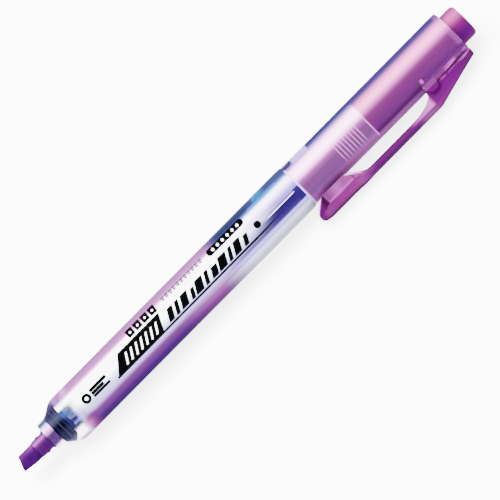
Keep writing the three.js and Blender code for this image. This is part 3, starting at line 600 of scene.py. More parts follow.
# valve housing, heights q: blue, turned pale to white towards its top and bottom by painted light, with a bright
# painted highlight line below the middle; paler from s 16.9 to 18.5
BLUE = [(-4.6, (232, 232, 244)), (-3.3, (213, 208, 223)), (-2.75, (124, 127, 165)), (-2.3, (56, 66, 130)), (-2.0, (60, 72, 140)), (-1.75, (146, 161, 233)), (-1.45, (110, 128, 200)), (-1.1, (50, 66, 134)), (-0.4, (50, 72, 140)),
        (0.3, (80, 108, 180)), (1.2, (95, 134, 191)), (1.9, (134, 158, 200)), (2.5, (190, 198, 218)), (3.0, (232, 236, 246))]
PALE_BLUE = [(-4.6, (232, 232, 244)), (-2.8, (218, 218, 233)), (-2.0, (213, 214, 224)), (0.0, (208, 207, 234)), (1.5, (218, 218, 233)), (3.0, (232, 236, 246))]
M_BLUE = moulded("valve_blue", levels(BLUE, 4.75, 0.42), rough=0.25, spec=0.02, second=(levels(PALE_BLUE, 4.75, 0.42), 16.9, 18.5), by_q=True, streak=0.5)
M_CART = clear_plastic("cartridge_clear", [(0.0, (0.9, 0.85, 0.96)), (0.5, (0.96, 0.92, 0.98)), (1.0, (0.9, 0.85, 0.96))], rough=0.05)

TH = [100.9 + 0.94 * i for i in range(8)]      # thread crests
REAR_RAMP = [(0.0, (0.96, 0.90, 0.97)), (0.3, (0.97, 0.93, 0.98)), (0.5, (0.985, 0.98, 0.99)), (0.7, (0.95, 0.93, 0.98)), (1.0, (0.96, 0.90, 0.97))]
# rear barrel wall round the pen, over one shell (ONE) and where two shells overlap (TWO): a painted highlight band on
# the upper side, a blue painted reflection line along the top, a pink rim of painted light below
ONE = [(-180, (178, 148, 180)), (-90, (178, 148, 180)), (-81, (178, 148, 180)), (-69, (190, 150, 195)), (-62, (197, 155, 203)), (-56, (190, 142, 196)), (-52, (178, 124, 184)), (-49.5, (126, 66, 142)), (-44, (119, 60, 137)), (-36, (143, 83, 162)), (-10, (151, 79, 151)), (0, (160, 92, 158)), (5.3, (188, 128, 182)),
       (13, (224, 182, 213)), (21, (238, 210, 228)), (30, (242, 212, 228)), (38, (238, 197, 222)), (44, (221, 184, 214)), (51, (163, 143, 190)), (59, (103, 93, 170)), (65, (84, 78, 162)), (74, (72, 65, 133)), (86, (110, 110, 170)), (110, (120, 120, 175)), (140, (190, 160, 205)), (180, (178, 148, 180))]
TWO = [(-180, (190, 165, 192)), (-81, (190, 165, 192)), (-69, (195, 160, 198)), (-62, (190, 150, 194)), (-50, (198, 155, 202)), (-40, (177, 135, 187)), (-33, (160, 118, 175)), (-10, (160, 105, 166)), (0, (185, 138, 190)), (5.3, (209, 167, 209)),
       (13, (241, 221, 236)), (24, (252, 242, 248)), (38, (246, 231, 243)), (44, (226, 213, 232)), (51, (188, 180, 220)), (59, (116, 115, 186)), (65, (75, 78, 152)), (74, (58, 63, 128)), (88, (100, 105, 165)), (115, (130, 130, 180)), (145, (200, 175, 212)), (180, (190, 165, 192))]


def rear_painted_light(t, s, psi, x, q):
    """painted into the wall: a pale side where the light falls, a blue line along the top that is a painted reflection,
    a pink rim of painted light below
    """
    two = t.math("SUBTRACT", 1.0, t.step(s, 110.3, 111.0))
    c = t.mix(two, t.ramp(x, around(ONE)), t.ramp(x, around(TWO)))
    c = t.mix(1.0, c, t.math("ADD", t.math("MULTIPLY", t.noise(t.vec, 60.0, 3.0, 0.5, (0.1, 1, 1)), 0.14), 0.93), "MULTIPLY")
    lit = t.math("MULTIPLY", t.step(psi, -9.0, 3.0), t.math("SUBTRACT", 1.0, t.step(psi, 106.0, 125.0)))
    low = t.math("MULTIPLY", t.step(psi, -112.0, -92.0), t.math("SUBTRACT", 1.0, t.step(psi, -38.0, -28.0)))
    w = t.math("MAXIMUM", t.math("MULTIPLY", lit, 0.9), t.math("MULTIPLY", low, 0.9))
    w = t.math("MAXIMUM", w, t.math("ADD", 0.12, t.math("MULTIPLY", t.band(psi, -98.0, 108.0, 12.0), 0.85)))
    # thread crests of the tail behind the wall, as pale painted highlight lines
    for a in TH:
        ln = t.math("MULTIPLY", t.band(s, a + 0.14, a + 0.3, 0.1), t.band(psi, -36.0, 42.0, 14.0))
        c = t.mix(t.math("MULTIPLY", ln, 0.3), c, tone((246, 230, 246), 20))
    # a pale painted highlight line where the tail ends
    c = t.mix(t.math("MULTIPLY", t.math("MULTIPLY", t.band(s, 110.3, 110.6, 0.08), t.band(psi, -60.0, 40.0, 6.0)), 0.2), c, tone((246, 230, 246), 10))
    # the blue painted reflection line stops short of a clear notch behind the front barrel
    notch = t.math("MULTIPLY", t.band(s, 92.0, 96.8, 0.15), t.band(psi, 50.0, 120.0, 3.0))
    c = t.mix(notch, c, tone((209, 204, 228), 60))
    # the end wall
    end = t.step(s, 136.9, 137.9)
    c = t.mix(t.math("MULTIPLY", end, t.math("MULTIPLY", t.step(psi, -50.0, -30.0), 0.25)), c, tone((206, 168, 210), 0))
    w = t.math("MAXIMUM", w, t.math("MULTIPLY", end, 0.95))
    return w, c


M_REAR = clear_plastic("rear_clear", REAR_RAMP, rough=0.008, gloss=(0.10, 0.02, 0.11), painted_layer=rear_painted_light)


# clip ears: a pale painted highlight on their upper part, painted shade below
def ear_painted_light(t, s, psi, x, q):
    n1 = t.noise(t.vec, 500.0, 2.0)
    f = t.step(q, -5.75, -5.25)
    return t.math("ADD", 0.88, t.math("MULTIPLY", n1, 0.1)), t.mix(f, tone((124, 38, 134), -60, 0.85), tone((170, 104, 172), -60))


# clip rails: mottled pale painted highlights on their lower part, the barrel's purple above
def rail_painted_light(t, s, psi, x, q):
    n1 = t.noise(t.vec, 500.0, 2.0, 0.5, (0.5, 1, 1))
    rim = t.mix(t.step(n1, 0.42, 0.6), tone((160, 92, 158), -60), tone((205, 150, 205), -60))
    return t.math("ADD", t.math("MULTIPLY", n1, 0.08), 0.88), t.mix(t.step(q, -4.5, -4.15), rim, tone((137, 77, 156), -50))


M_RAIL = clear_plastic("rail_clear", [(0.0, (0.93, 0.85, 0.95)), (1.0, (0.93, 0.85, 0.95))], rough=0.05, gloss=(0.05, 0.01, 0.05), painted_layer=rail_painted_light)


# low rib: mottled pale painted highlights on its top, painted shade on its flanks
def rib_painted_light(t, s, psi, x, q):
    n1 = t.noise(t.vec, 500.0, 2.0, 0.5, (1, 1, 0.4))
    edge = t.math("SUBTRACT", 1.0, t.band(s, 125.1, 125.95, 0.12))
    return t.math("ADD", t.math("MULTIPLY", n1, 0.1), 0.86), t.mix(edge, t.mix(t.step(n1, 0.4, 0.62), tone((205, 150, 205), -50), tone((222, 184, 222), -50)), tone((150, 84, 150), -50))


M_RIB = clear_plastic("rib_clear", [(0.0, (0.93, 0.85, 0.95)), (1.0, (0.93, 0.85, 0.95))], rough=0.05, gloss=(0.05, 0.01, 0.05), painted_layer=rib_painted_light)
M_EAR = clear_plastic("ear_clear", [(0.0, (0.93, 0.85, 0.95)), (1.0, (0.93, 0.85, 0.95))], rough=0.05, gloss=(0.05, 0.01, 0.05), painted_layer=ear_painted_light)


# the dark rubber rings, seen through the clear cone, are painted on it: near black in the middle, turned slate above
# and below by painted light
RINGS = [(-4.9, (150, 130, 180)), (-4.2, (120, 118, 160)), (-3.2, (60, 61, 99)), (-1.7, (42, 53, 88)), (-1.0, (22, 30, 62)), (-0.5, (8, 11, 44)), (0.3, (8, 11, 44)), (0.75, (30, 36, 70)), (1.3, (80, 92, 122)), (2.0, (112, 120, 150)),
         (2.6, (90, 98, 134)), (3.3, (58, 70, 116)), (4.0, (62, 60, 112)), (4.7, (84, 76, 136)), (5.3, (117, 97, 153)), (5.9, (150, 130, 180))]
# mouth of the nose cone, heights q: white painted light below and above the purple nib holder seen through it, which is
# painted on as well; slate at the top
MOUTH = [(-3.0, (245, 243, 248)), (-2.6, (236, 226, 240)), (-2.2, (140, 116, 162)), (-1.6, (114, 84, 154)), (-0.8, (118, 88, 164)), (-0.2, (105, 72, 140)), (0.3, (130, 98, 158)), (0.8, (205, 180, 215)), (1.3, (225, 210, 230)), (2.0, (246, 236, 244)),
         (2.7, (218, 222, 242)), (3.15, (134, 134, 176)), (3.6, (130, 132, 176)), (4.1, (150, 148, 184))]


def ring_paint(t, s, q, w, c):
    """the dark rings between s 11.4 and 14.7, painted with their light and shade on the clear plastic over them, with
    paler lines between them
    """
    x = t.math("ADD", t.math("DIVIDE", q, 12.0), 0.5)
    n1 = t.noise(t.vec, 260.0, 3.0)
    k = t.math("MULTIPLY", t.band(s, 11.5, 14.75, 0.25), t.step(t.math("ADD", q, t.math("SUBTRACT", 4.7, t.math("MULTIPLY", t.math("ABSOLUTE", t.math("SUBTRACT", s, 13.3)), 0.8))), -0.5, 0.6))
    k = t.math("MAXIMUM", k, t.math("MULTIPLY", t.band(s, 13.5, 15.7, 0.2), t.band(q, -2.35, 2.3, 0.35)))
    col = t.ramp(x, levels(RINGS, 6.2))
    col = t.mix(1.0, col, t.math("ADD", t.math("MULTIPLY", n1, 0.7), 0.65), "MULTIPLY")
    col = t.mix(t.math("MULTIPLY", t.step(s, 14.5, 15.1), t.band(q, -2.6, 2.6, 0.4)), col, t.mix(t.step(q, 0.1, 1.3), tone((50, 66, 134), 0), tone((95, 134, 191), 20)))
    for a, b, f, cc in ((13.1, 13.32, 0.55, (120, 124, 165)), (14.2, 14.38, 0.4, (112, 116, 160)), (12.0, 12.2, 0.25, (110, 112, 150))):
        col = t.mix(t.math("MULTIPLY", t.band(s, a, b, 0.07), f), col, tone(cc, 20))
    return t.math("MAXIMUM", w, t.math("MULTIPLY", k, 0.97)), t.mix(t.math("MULTIPLY", k, 6.0, clamp=True), c, col)


def front_painted_light(t, s, psi, x, q):
    """the tail inside the rear barrel is milky, with a pink rim of painted light below, and its thread crests show as
    pale painted highlight lines; the shoulder shows the rings behind it, painted on
    """
    tail = t.band(s, 89.3, 111.1, 0.12)
    low = t.step(psi, -66.0, -46.0)
    w = t.math("MULTIPLY", tail, t.math("SUBTRACT", 0.85, t.math("MULTIPLY", low, 0.75)))
    c = t.mix(low, tone((198, 156, 202), -60, 0.6), tone((215, 180, 215), 0, 0.6))
    for a in TH:
        b = t.band(s, a + 0.12, a + 0.36, 0.07)
        w = t.math("MAXIMUM", w, t.math("MULTIPLY", b, 0.35))
        c = t.mix(t.math("MULTIPLY", b, 0.5), c, tone((246, 230, 246), 0, 0.6))
    w = t.math("MAXIMUM", w, t.math("MULTIPLY", t.band(s, 110.5, 111.0, 0.1), 0.5))
    # the neck in front of the rear barrel: a soft white painted highlight that turns into the painted colours behind,
    # with the blue painted reflection line above
    nk = t.band(s, 88.9, 91.6, 0.1)
    nc = t.mix(t.step(s, 89.25, 89.95), tone((231, 226, 243), 10), t.ramp(x, around(TWO)))
    nc = t.mix(t.step(psi, 50.0, 60.0), nc, tone((70, 72, 145), 70))
    w = t.math("MAXIMUM", w, t.math("MULTIPLY", nk, 0.92))
    c = t.mix(nk, c, nc)
    # shoulder: lilac along the top; white painted light above and below the blue sleeve
    sh = t.math("SUBTRACT", 1.0, t.step(s, 17.0, 17.4))
    up = t.step(q, 2.2, 3.1)
    dn = t.math("SUBTRACT", 1.0, t.step(q, -3.6, -2.7))
    sc = t.mix(t.step(q, 3.3, 4.3), tone((250, 248, 252), 40), t.mix(t.step(s, 14.9, 15.6), tone((110, 100, 158), 50), tone((199, 168, 214), 50)))
    sc = t.mix(dn, sc, t.mix(t.step(t.math("SUBTRACT", 0.0, q), 4.6, 5.6), tone((248, 244, 250), -40), tone((206, 190, 210), -60)))
    w = t.math("MAXIMUM", w, t.math("MULTIPLY", sh, t.math("MULTIPLY", t.math("MAXIMUM", up, dn), 0.85)))
    c = t.mix(sh, c, sc)
    return ring_paint(t, s, q, w, c)


M_FRONT = clear_plastic("front_clear", [(0.0, (0.93, 0.95, 0.99)), (0.5, (0.98, 0.985, 0.995)), (1.0, (0.93, 0.95, 0.99))], rough=0.01, gloss=(0.2, 0.15, 0.22), painted_layer=front_painted_light)


def nose_painted_light(t, s, psi, x, q):
    xq = t.math("ADD", t.math("DIVIDE", q, 12.0), 0.5)
    c = t.ramp(xq, levels(MOUTH, 4.0))
    w = t.math("ADD", 0.86, t.math("MULTIPLY", t.band(s, 9.3, 11.3, 0.2), 0.0))
    # the cone widens: white painted light below the rings, slate above
    c = t.mix(t.step(s, 11.3, 11.9), c, t.mix(t.step(q, 2.0, 3.4), tone((245, 243, 248), -50), tone((96, 92, 139), 40)))
    return ring_paint(t, s, q, w, c)


M_NOSE = clear_plastic("nose_clear", [(wrap(-180), (0.9, 0.92, 0.97)), (wrap(0), (0.97, 0.975, 0.99)), (wrap(180), (0.9, 0.92, 0.97))], rough=0.015, gloss=(0.1, 0.1, 0.12), painted_layer=nose_painted_light)

# printed film: white panel, light purple band above, purple band below, both turning to blue and clear grey towards the
# back; painted shade darkens the bands where they turn away, and the blue line along the top is a painted reflection
t = NT("label_print")
vec, s, psi, q = t.coords()
x = t.math("ADD", t.math("DIVIDE", psi, 360.0), 0.5)
front = t.ramp(x, around([
    (-180, (226, 212, 236)), (-140, (226, 212, 236)), (-120, (117, 72, 156)), (-90, (66, 40, 112)), (-70.6, (62, 38, 106)), (-63, (79, 48, 133)), (-57.3, (85, 48, 141)), (-52.3, (103, 62, 153)), (-43.8, (130, 83, 159)), (-36.2, (143, 97, 161)),
    (-32.7, (150, 109, 166)), (-29.4, (178, 149, 195)), (-26, (203, 187, 221)), (-21.4, (208, 208, 226)), (-10.9, (218, 218, 233)), (0, (234, 237, 242)), (5, (246, 249, 252)), (12, (252, 253, 253)), (33, (254, 252, 253)), (37.5, (252, 245, 250)), (42, (228, 206, 224)),
    (48, (207, 177, 206)), (54.8, (206, 168, 210)), (66.7, (188, 154, 196)), (80, (170, 140, 178)), (120, (200, 168, 214)), (150, (226, 212, 236)), (180, (226, 212, 236))]))
back = t.ramp(x, around([
    (-180, (200, 202, 210)), (-90, (188, 190, 196)), (-70.6, (196, 197, 207)), (-57.3, (201, 202, 211)), (-50, (213, 214, 224)), (-41, (219, 220, 230)), (-37.5, (186, 187, 206)), (-33.5, (208, 207, 234)), (-28.5, (197, 195, 234)), (-25, (125, 124, 170)),
    (-17, (110, 108, 165)), (-3, (120, 118, 176)), (5, (188, 182, 226)), (12.3, (203, 198, 224)), (20, (231, 226, 243)), (30, (245, 243, 248)), (36, (232, 236, 246)), (41.8, (178, 188, 216)),
    (48, (120, 138, 198)), (54.8, (92, 110, 176)), (66.7, (78, 96, 148)), (85, (60, 76, 140)), (125, (140, 150, 200)), (160, (200, 202, 210)), (180, (200, 202, 210))]))
wob = t.noise(vec, 40.0, 2.0)
sw = t.math("ADD", s, t.math("MULTIPLY", t.math("SUBTRACT", wob, 0.5), 3.0))
lower = t.step(sw, 60.5, 71.5)
mid = t.ramp(x, around([
    (-180, (226, 212, 236)), (-120, (150, 98, 165)), (-90, (104, 50, 142)), (-72, (112, 62, 138)), (-64.8, (135, 80, 151)), (-53.6, (155, 96, 167)), (-44.7, (173, 126, 184)), (-37, (178, 140, 186)), (-31, (199, 177, 208)), (-26, (203, 187, 221)),
    (-21.4, (208, 208, 226)), (0, (218, 218, 233)), (180, (226, 212, 236))]))
front = t.mix(t.math("MULTIPLY", t.step(sw, 46.0, 60.5), t.math("SUBTRACT", 1.0, t.step(psi, -26.0, -20.0))), front, mid)
upper = t.step(sw, 61.0, 68.5)
centre = t.step(sw, 62.0, 84.0)
mixf = t.mix(t.step(psi, -26.0, -14.0), lower, t.mix(t.step(psi, 34.0, 42.0), centre, upper))
sepc = t.n("ShaderNodeSeparateColor"); t.l(mixf, sepc.inputs[0])
colour = t.mix(sepc.outputs[0], front, back)
# the blue painted reflection along the upper band is darkest where it starts
dk = t.math("MULTIPLY", t.band(s, 66.5, 78.0, 2.5), t.math("MULTIPLY", t.step(psi, 43.0, 56.0), t.math("SUBTRACT", 1.0, t.step(psi, 92.0, 135.0))))
colour = t.mix(t.math("MULTIPLY", dk, 0.85), colour, tone((50, 74, 122), 60))
# fades to white at the front edge of the lower band
lf = t.math("MULTIPLY", t.math("SUBTRACT", 1.0, t.step(sw, 19.6, 22.0)), t.math("SUBTRACT", 1.0, t.step(psi, -34.0, -18.0)))
lfx = t.math("DIVIDE", t.math("SUBTRACT", sw, 16.0), 6.0)
lfc = t.ramp(lfx, [((a - 16.0) / 6.0, tone(c, -55)) for a, c in ((16.4, (245, 243, 248)), (17.3, (240, 222, 240)), (17.9, (224, 190, 220)), (18.6, (196, 150, 196)), (19.4, (170, 110, 172)), (20.4, (144, 84, 160)))])
# painted shade: darker where the band turns under
lfc = t.mix(1.0, lfc, t.math("ADD", t.math("MULTIPLY", t.step(psi, -80.0, -42.0), 0.55), 0.45), "MULTIPLY")
colour = t.mix(t.math("MULTIPLY", lf, 0.97), colour, lfc)
# a pale spot on the upper band near its front end
colour = t.mix(t.math("MULTIPLY", t.math("MULTIPLY", t.band(sw, 18.4, 19.6, 1.0), t.step(psi, 40.0, 56.0)), 0.22), colour, tone((241, 231, 240), 55))
# dark blue bar at the back, a painted reflection, with a thin pale line along its lower edge
bar = t.math("MULTIPLY", t.step(s, 72.0, 83.0), t.band(psi, -27.0, -3.4, 1.4))
colour = t.mix(bar, colour, t.ramp(x, around([(-28, (95, 93, 155)), (-21, (70, 68, 150)), (-16, (58, 57, 147)), (-11, (55, 54, 140)), (-5, (44, 42, 118)), (-2, (60, 58, 130))])))
# over the bar a white painted highlight line and a thin blue one; all end in a blue edge
for p0, p1, f, cc in ((-2.1, -0.9, 0.85, (245, 243, 248)), (1.0, 2.6, 0.7, (125, 124, 190))):
    colour = t.mix(t.math("MULTIPLY", t.math("MULTIPLY", t.step(s, 78.5, 80.5), t.band(psi, p0, p1, 0.5)), f), colour, tone(cc, 0))
colour = t.mix(t.math("MULTIPLY", t.step(s, 87.2, 88.0), t.band(psi, -27.0, 4.0, 2.0)), colour, tone((58, 57, 147), -10))
# cyan glint on the blue edge
cy = t.math("MULTIPLY", t.band(s, 79.6, 82.9, 0.7), t.band(psi, 46.0, 92.0, 7.0))
colour = t.mix(t.math("MULTIPLY", cy, 0.9), colour, t.mix(t.step(t.noise(vec, 600.0, 2.0), 0.35, 0.65), tone((70, 150, 195), 60), tone((96, 205, 232), 60)))
# a pale blue painted highlight along the lower edge of the blue line
halo = t.math("MULTIPLY", t.band(s, 77.2, 86.0, 0.4), t.band(psi, 40.0, 50.0, 2.0))
colour = t.mix(t.math("MULTIPLY", halo, 0.5), colour, tone((150, 190, 225), 45))
dots = t.n("ShaderNodeTexVoronoi"); dots.inputs["Scale"].default_value = 2600.0
t.l(vec, dots.inputs["Vector"])
colour = t.mix(1.0, colour, t.math("ADD", t.math("MULTIPLY", t.step(dots.outputs["Distance"], 0.1, 0.6), 0.08), 0.95), "MULTIPLY")
fine = t.noise(vec, 1200.0, 3.0)
lab = t.principled(color=colour, rough=t.math("ADD", t.math("MULTIPLY", fine, 0.08), 0.25), spec=0.001, spec_tint=colour, normal=t.bump(fine, 0.04, 0.0001))
# the film is clear over its first few millimetres, so the shutter's blue sleeve shows
win = t.math("MULTIPLY", t.math("SUBTRACT", 1.0, t.step(sw, 17.3, 20.6)), t.band(psi, -36.0, 27.0, 7.0))
win = t.math("MAXIMUM", win, t.math("MULTIPLY", t.math("SUBTRACT", 1.0, t.step(sw, 16.6, 18.8)), t.math("SUBTRACT", 1.0, t.step(psi, -30.0, -18.0))))
trn = t.n("ShaderNodeBsdfTransparent")
mxs = t.n("ShaderNodeMixShader")
t.val(mxs.inputs[0], win)
t.l(lab, mxs.inputs[1]); t.l(trn.outputs[0], mxs.inputs[2])
M_LABEL = t.out(mxs.outputs[0])


def ink(name, c, c2):
    t = NT(name)
    vec, s, psi, q = t.coords()
    n1 = t.noise(vec, 1800.0, 5.0)
    return t.out(t.principled(color=t.mix(n1, c, c2), rough=t.math("ADD", t.math("MULTIPLY", n1, 0.15), 0.35), spec=0.0, normal=t.bump(n1, 0.08, 0.00005)))


M_BLACK = ink("ink_black", (0.0003, 0.0003, 0.0004), (0.0008, 0.0008, 0.001))
M_WHITE = ink("ink_white", (0.86, 0.86, 0.88), (0.94, 0.94, 0.95))
M_GREY = ink("ink_grey", tone((120, 112, 140)), tone((140, 132, 158)))

# ------------------------------------------------------------------ barrel, front
nose = lathe("nose_cone_v", [
    (9.1, 2.95, 0.1), (9.1, 3.9, 0.35), (11.4, 4.02, 1.2), (12.4, 4.42), (13.0, 4.85), (13.0, 4.5), (14.7, 4.5), (14.7, 4.0), (12.65, 4.0), (12.65, 3.35), (9.9, 3.35), (9.9, 2.95)],
    M_NOSE)
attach(nose, "barrel"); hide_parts("nose_cone")

shell_pts = [(13.05, 4.55), (13.05, 4.9, 0.08), (13.5, 5.18), (14.0, 5.5), (14.5, 5.74), (15.0, 5.9), (15.6, 5.985), (16.2, 6.0), (16.8, 6.0), (16.85, 5.88), (88.0, 5.88), (88.5, 5.88), (88.9, 5.84),
             (89.25, 5.76), (89.5, 5.71, 0.1), (91.34, 5.7), (91.34, 4.95)]
for i in range(8):
    a = 100.9 + i * 0.94
    shell_pts += [(a, 4.95), (a + 0.2, 5.06, 0.05), (a + 0.42, 5.1, 0.05), (a + 0.62, 4.97)]
shell_pts += [(108.7, 4.95), (110.9, 4.95, 0.1), (110.9, 4.6), (92.2, 4.6), (91.4, 4.9), (16.4, 4.9), (15.9, 4.85), (13.35, 4.85), (13.35, 4.55)]
front = lathe("front_barrel_v", shell_pts, M_FRONT, smooth=28)
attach(front, "barrel"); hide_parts("front_barrel")

label = lathe("label_film_v", [(16.9, 5.9), (16.9, 5.985, 0.03), (88.15, 5.985, 0.2), (88.7, 5.97), (89.05, 5.92), (89.3, 5.84, 0.02), (89.28, 5.8), (88.95, 5.87), (88.6, 5.905), (88.1, 5.9)], M_LABEL, seg=160)
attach(label, "barrel"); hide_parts("label_film")

seal = lathe("nose_seal_ring_v", [(13.45, 4.55), (13.45, 4.9, 0.1), (14.45, 4.92, 0.1), (14.45, 4.55)], M_SEAL)
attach(seal, "barrel"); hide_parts("nose_seal_ring")
gasket = lathe("valve_seat_gasket_v", [(11.75, 2.74), (11.75, 3.38, 0.1), (12.8, 3.4), (13.0, 3.4), (14.7, 3.4, 0.1), (14.7, 2.9, 0.1), (14.3, 2.74)], M_SEAL)
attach(gasket, "barrel"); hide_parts("valve_seat_gasket")
wiper = lathe("nib_wiper_seal_v", [(9.95, 3.3, 0.1), (11.3, 3.3, 0.1), (11.3, 2.95), (10.9, 2.72, 0.05), (10.4, 2.72, 0.05), (9.95, 2.95)], M_SEAL)
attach(wiper, "barrel"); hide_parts("nib_wiper_seal")

housing = lathe("valve_housing_v", [
    (12.9, 3.45), (12.9, 3.68, 0.08), (14.8, 3.88), (15.1, 4.38, 0.15), (15.6, 4.74, 0.15), (21.9, 4.75, 0.1), (21.9, 4.35), (15.95, 4.35), (15.95, 3.45)], M_BLUE, seg=96)
cut = boxp("cut", 17.2, 20.4, -6, 6, -1.3, 1.3, None, 0.3)
boolean(housing, cut, "DIFFERENCE")
cut = boxp("cut2", 14.7, 15.96, -1.7, 1.7, -4.2, -2.5, None, 0.05)
boolean(housing, cut, "DIFFERENCE")
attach(housing, "barrel"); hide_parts("valve_housing")

# shutter flap: disc with a rounded rim, tab and knuckle
def flap_mesh():
    verts, faces = [], []
    n = 48
    rings = [(0.0, -2.95), (2.6, -2.95), (2.82, -2.97), (2.9, -3.05), (2.9, -3.1), (2.82, -3.14), (2.6, -3.15), (0.0, -3.15)]
    idx = []
    for r, h in rings:
        if r == 0:
            idx.append([len(verts)] * n); verts.append(P(18.6, 0, h))
        else:
            idx.append(list(range(len(verts), len(verts) + n)))
            verts += [P(18.6 + r * math.cos(2 * math.pi * k / n), r * math.sin(2 * math.pi * k / n), h) for k in range(n)]
    for i in range(len(rings) - 1):
        for k in range(n):
            k2 = (k + 1) % n
            f = []
            for v in (idx[i][k], idx[i][k2], idx[i + 1][k2], idx[i + 1][k]):
                if v not in f: f.append(v)
            if len(f) > 2: faces.append(f)
    return link("shutter_flap_v", verts, faces, M_SEAL)
flap = flap_mesh()
tab = boxp("flap_tab", 15.35, 17.1, -1.5, 1.5, -3.15, -2.82, M_SEAL, 0.08)
boolean(flap, tab, "UNION")
# knuckle round the pin
def cross_tube(name, s, h, r0, r1, w0, w1, mat, n=32):
    prof = [(w0, r0), (w0, r1), (w1, r1), (w1, r0)]
    verts, faces = [], []
    for w, r in prof:
        verts += [P(s + r * math.cos(2 * math.pi * k / n), w, h + r * math.sin(2 * math.pi * k / n)) for k in range(n)]
    for i in range(4):
        for k in range(n):
            k2 = (k + 1) % n
            j = (i + 1) % 4
            faces.append([i * n + k, i * n + k2, j * n + k2, j * n + k])
    return link(name, verts, faces, mat)
kn = cross_tube("flap_knuckle", 15.3, -3.3, 0.26, 0.5, -1.5, 1.5, M_SEAL)
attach(flap, "shutter"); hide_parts("shutter_flap")
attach(kn, "shutter")

# ------------------------------------------------------------------ barrel, rear
rear = lathe("rear_barrel_v", [
    (91.35, 5.18, 0.02), (91.35, 5.72, 0.05), (138.7, 5.75, 0.4), (138.7, 4.33, 0.08), (137.8, 4.33, 0.05), (137.8, 4.85, 0.3), (111.3, 4.85), (111.3, 5.18)], M_REAR, seg=160)
cut = boxp("cut3", 130.1, 133.1, -1.2, 1.2, 4.0, 7.0, None, 0.1)
boolean(rear, cut, "DIFFERENCE")
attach(rear, "barrel"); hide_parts("rear_barrel")
for sgn in (-1, 1):
    w0, w1 = sorted((sgn * 2.1, sgn * 2.75))
    w_ = 0.12
    rings = []
    for s, top, e in ((124.7, 7.18, 0.1), (124.82, 7.29, 0.0), (138.55, 6.5, 0.0), (138.7, 6.36, 0.1)):
        a, b = w0 + e, w1 - e
        rings.append([P(s, w, h) for w, h in ((a, 5.0), (a, top - w_), (a + w_ * 0.3, top - w_ * 0.3), (a + w_, top), (b - w_, top), (b - w_ * 0.3, top - w_ * 0.3), (b, top - w_), (b, 5.0))])
    rail = loft("clip_rail_%s" % ("a" if sgn < 0 else "b"), rings, M_RAIL)
    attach(rail, "barrel")
    pts = [(125.0, 6.0), (125.0, 7.9), (125.7, 8.6), (127.5, 8.6), (128.2, 7.9), (128.2, 6.0)]
    pts = fillet([(a, b, 0.35) if b > 6.5 else (a, b) for a, b in pts], True, 4)
    rings = []
    cs = Vector((126.6, 6.8))
    for w, k in ((w0 - 0.01, 0.95), (w0 + 0.07, 1.0), (w1 - 0.07, 1.0), (w1 + 0.01, 0.95)):
        rings.append([P(cs.x + (a - cs.x) * k, w, cs.y + (b - cs.y) * k) for a, b in pts])
    ear = loft("clip_ear_%s" % ("a" if sgn < 0 else "b"), rings, M_EAR)
    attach(ear, "barrel")
# the low rib round the clip side
verts, faces = [], []
n = 40
prof = [(124.9, 5.7), (124.95, 5.95), (125.05, 6.0), (125.95, 6.0), (126.05, 5.95), (126.1, 5.7)]
hpsi = -65.6  # the clip's direction, in psi
for k in range(n + 1):
    a = hpsi - 38 + 76 * k / n
    verts += [Q(s, a, r) for s, r in prof]
m = len(prof)
for k in range(n):
    for i in range(m):
        j = (i + 1) % m
        faces.append([k * m + i, k * m + j, (k + 1) * m + j, (k + 1) * m + i])
faces.append(list(range(m))); faces.append(list(range(n * m, n * m + m)))
rib = link("clip_rib", verts, faces, M_RIB)
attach(rib, "barrel")
pin = cross_tube("clip_pivot_pin_v", 126.6, 7.8, 0.05, 0.45, -2.72, 2.72, M_HOLDER)
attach(pin, "barrel"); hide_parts("clip_pivot_pin")
hp = cross_tube("shutter_hinge_pin_v", 15.3, -3.3, 0.02, 0.22, -2.3, 2.3, M_STEEL)
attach(hp, "barrel"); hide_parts("shutter_hinge_pin")

# ------------------------------------------------------------------ clip
def section(s, ho, hi_, wo, wi, hs, r=0.35, kk=4):
    """ring of points: outer face at ho, inner face at hi_, outer plate half-width wo, inner block half-width wi below hs"""
    r1 = min(r, (ho - hi_) * 0.3)
    pts = [(-wo, ho, r1), (wo, ho, r1), (wo, hs, 0.0), (wi, hs, 0.0), (wi, hi_, r1), (-wi, hi_, r1), (-wi, hs, 0.0), (-wo, hs, 0.0)]
    out = []
    m = len(pts)
    for i, (w, h, rad) in enumerate(pts):
        if rad == 0:
            out.append((w, h)); continue
        a, c = Vector(pts[i - 1][:2]), Vector(pts[(i + 1) % m][:2])
        qv = Vector((w, h))
        u, v = (a - qv).normalized(), (c - qv).normalized()
        t_ = min(rad, (a - qv).length * 0.45, (c - qv).length * 0.45)
        for k in range(kk + 1):
            f = k / kk
            p0, p1 = qv + u * t_, qv + v * t_
            pt = p0 * (1 - f) ** 2 + qv * 2 * f * (1 - f) + p1 * f ** 2
            out.append((pt.x, pt.y))
    return [P(s, w, h) for w, h in out]


st = []
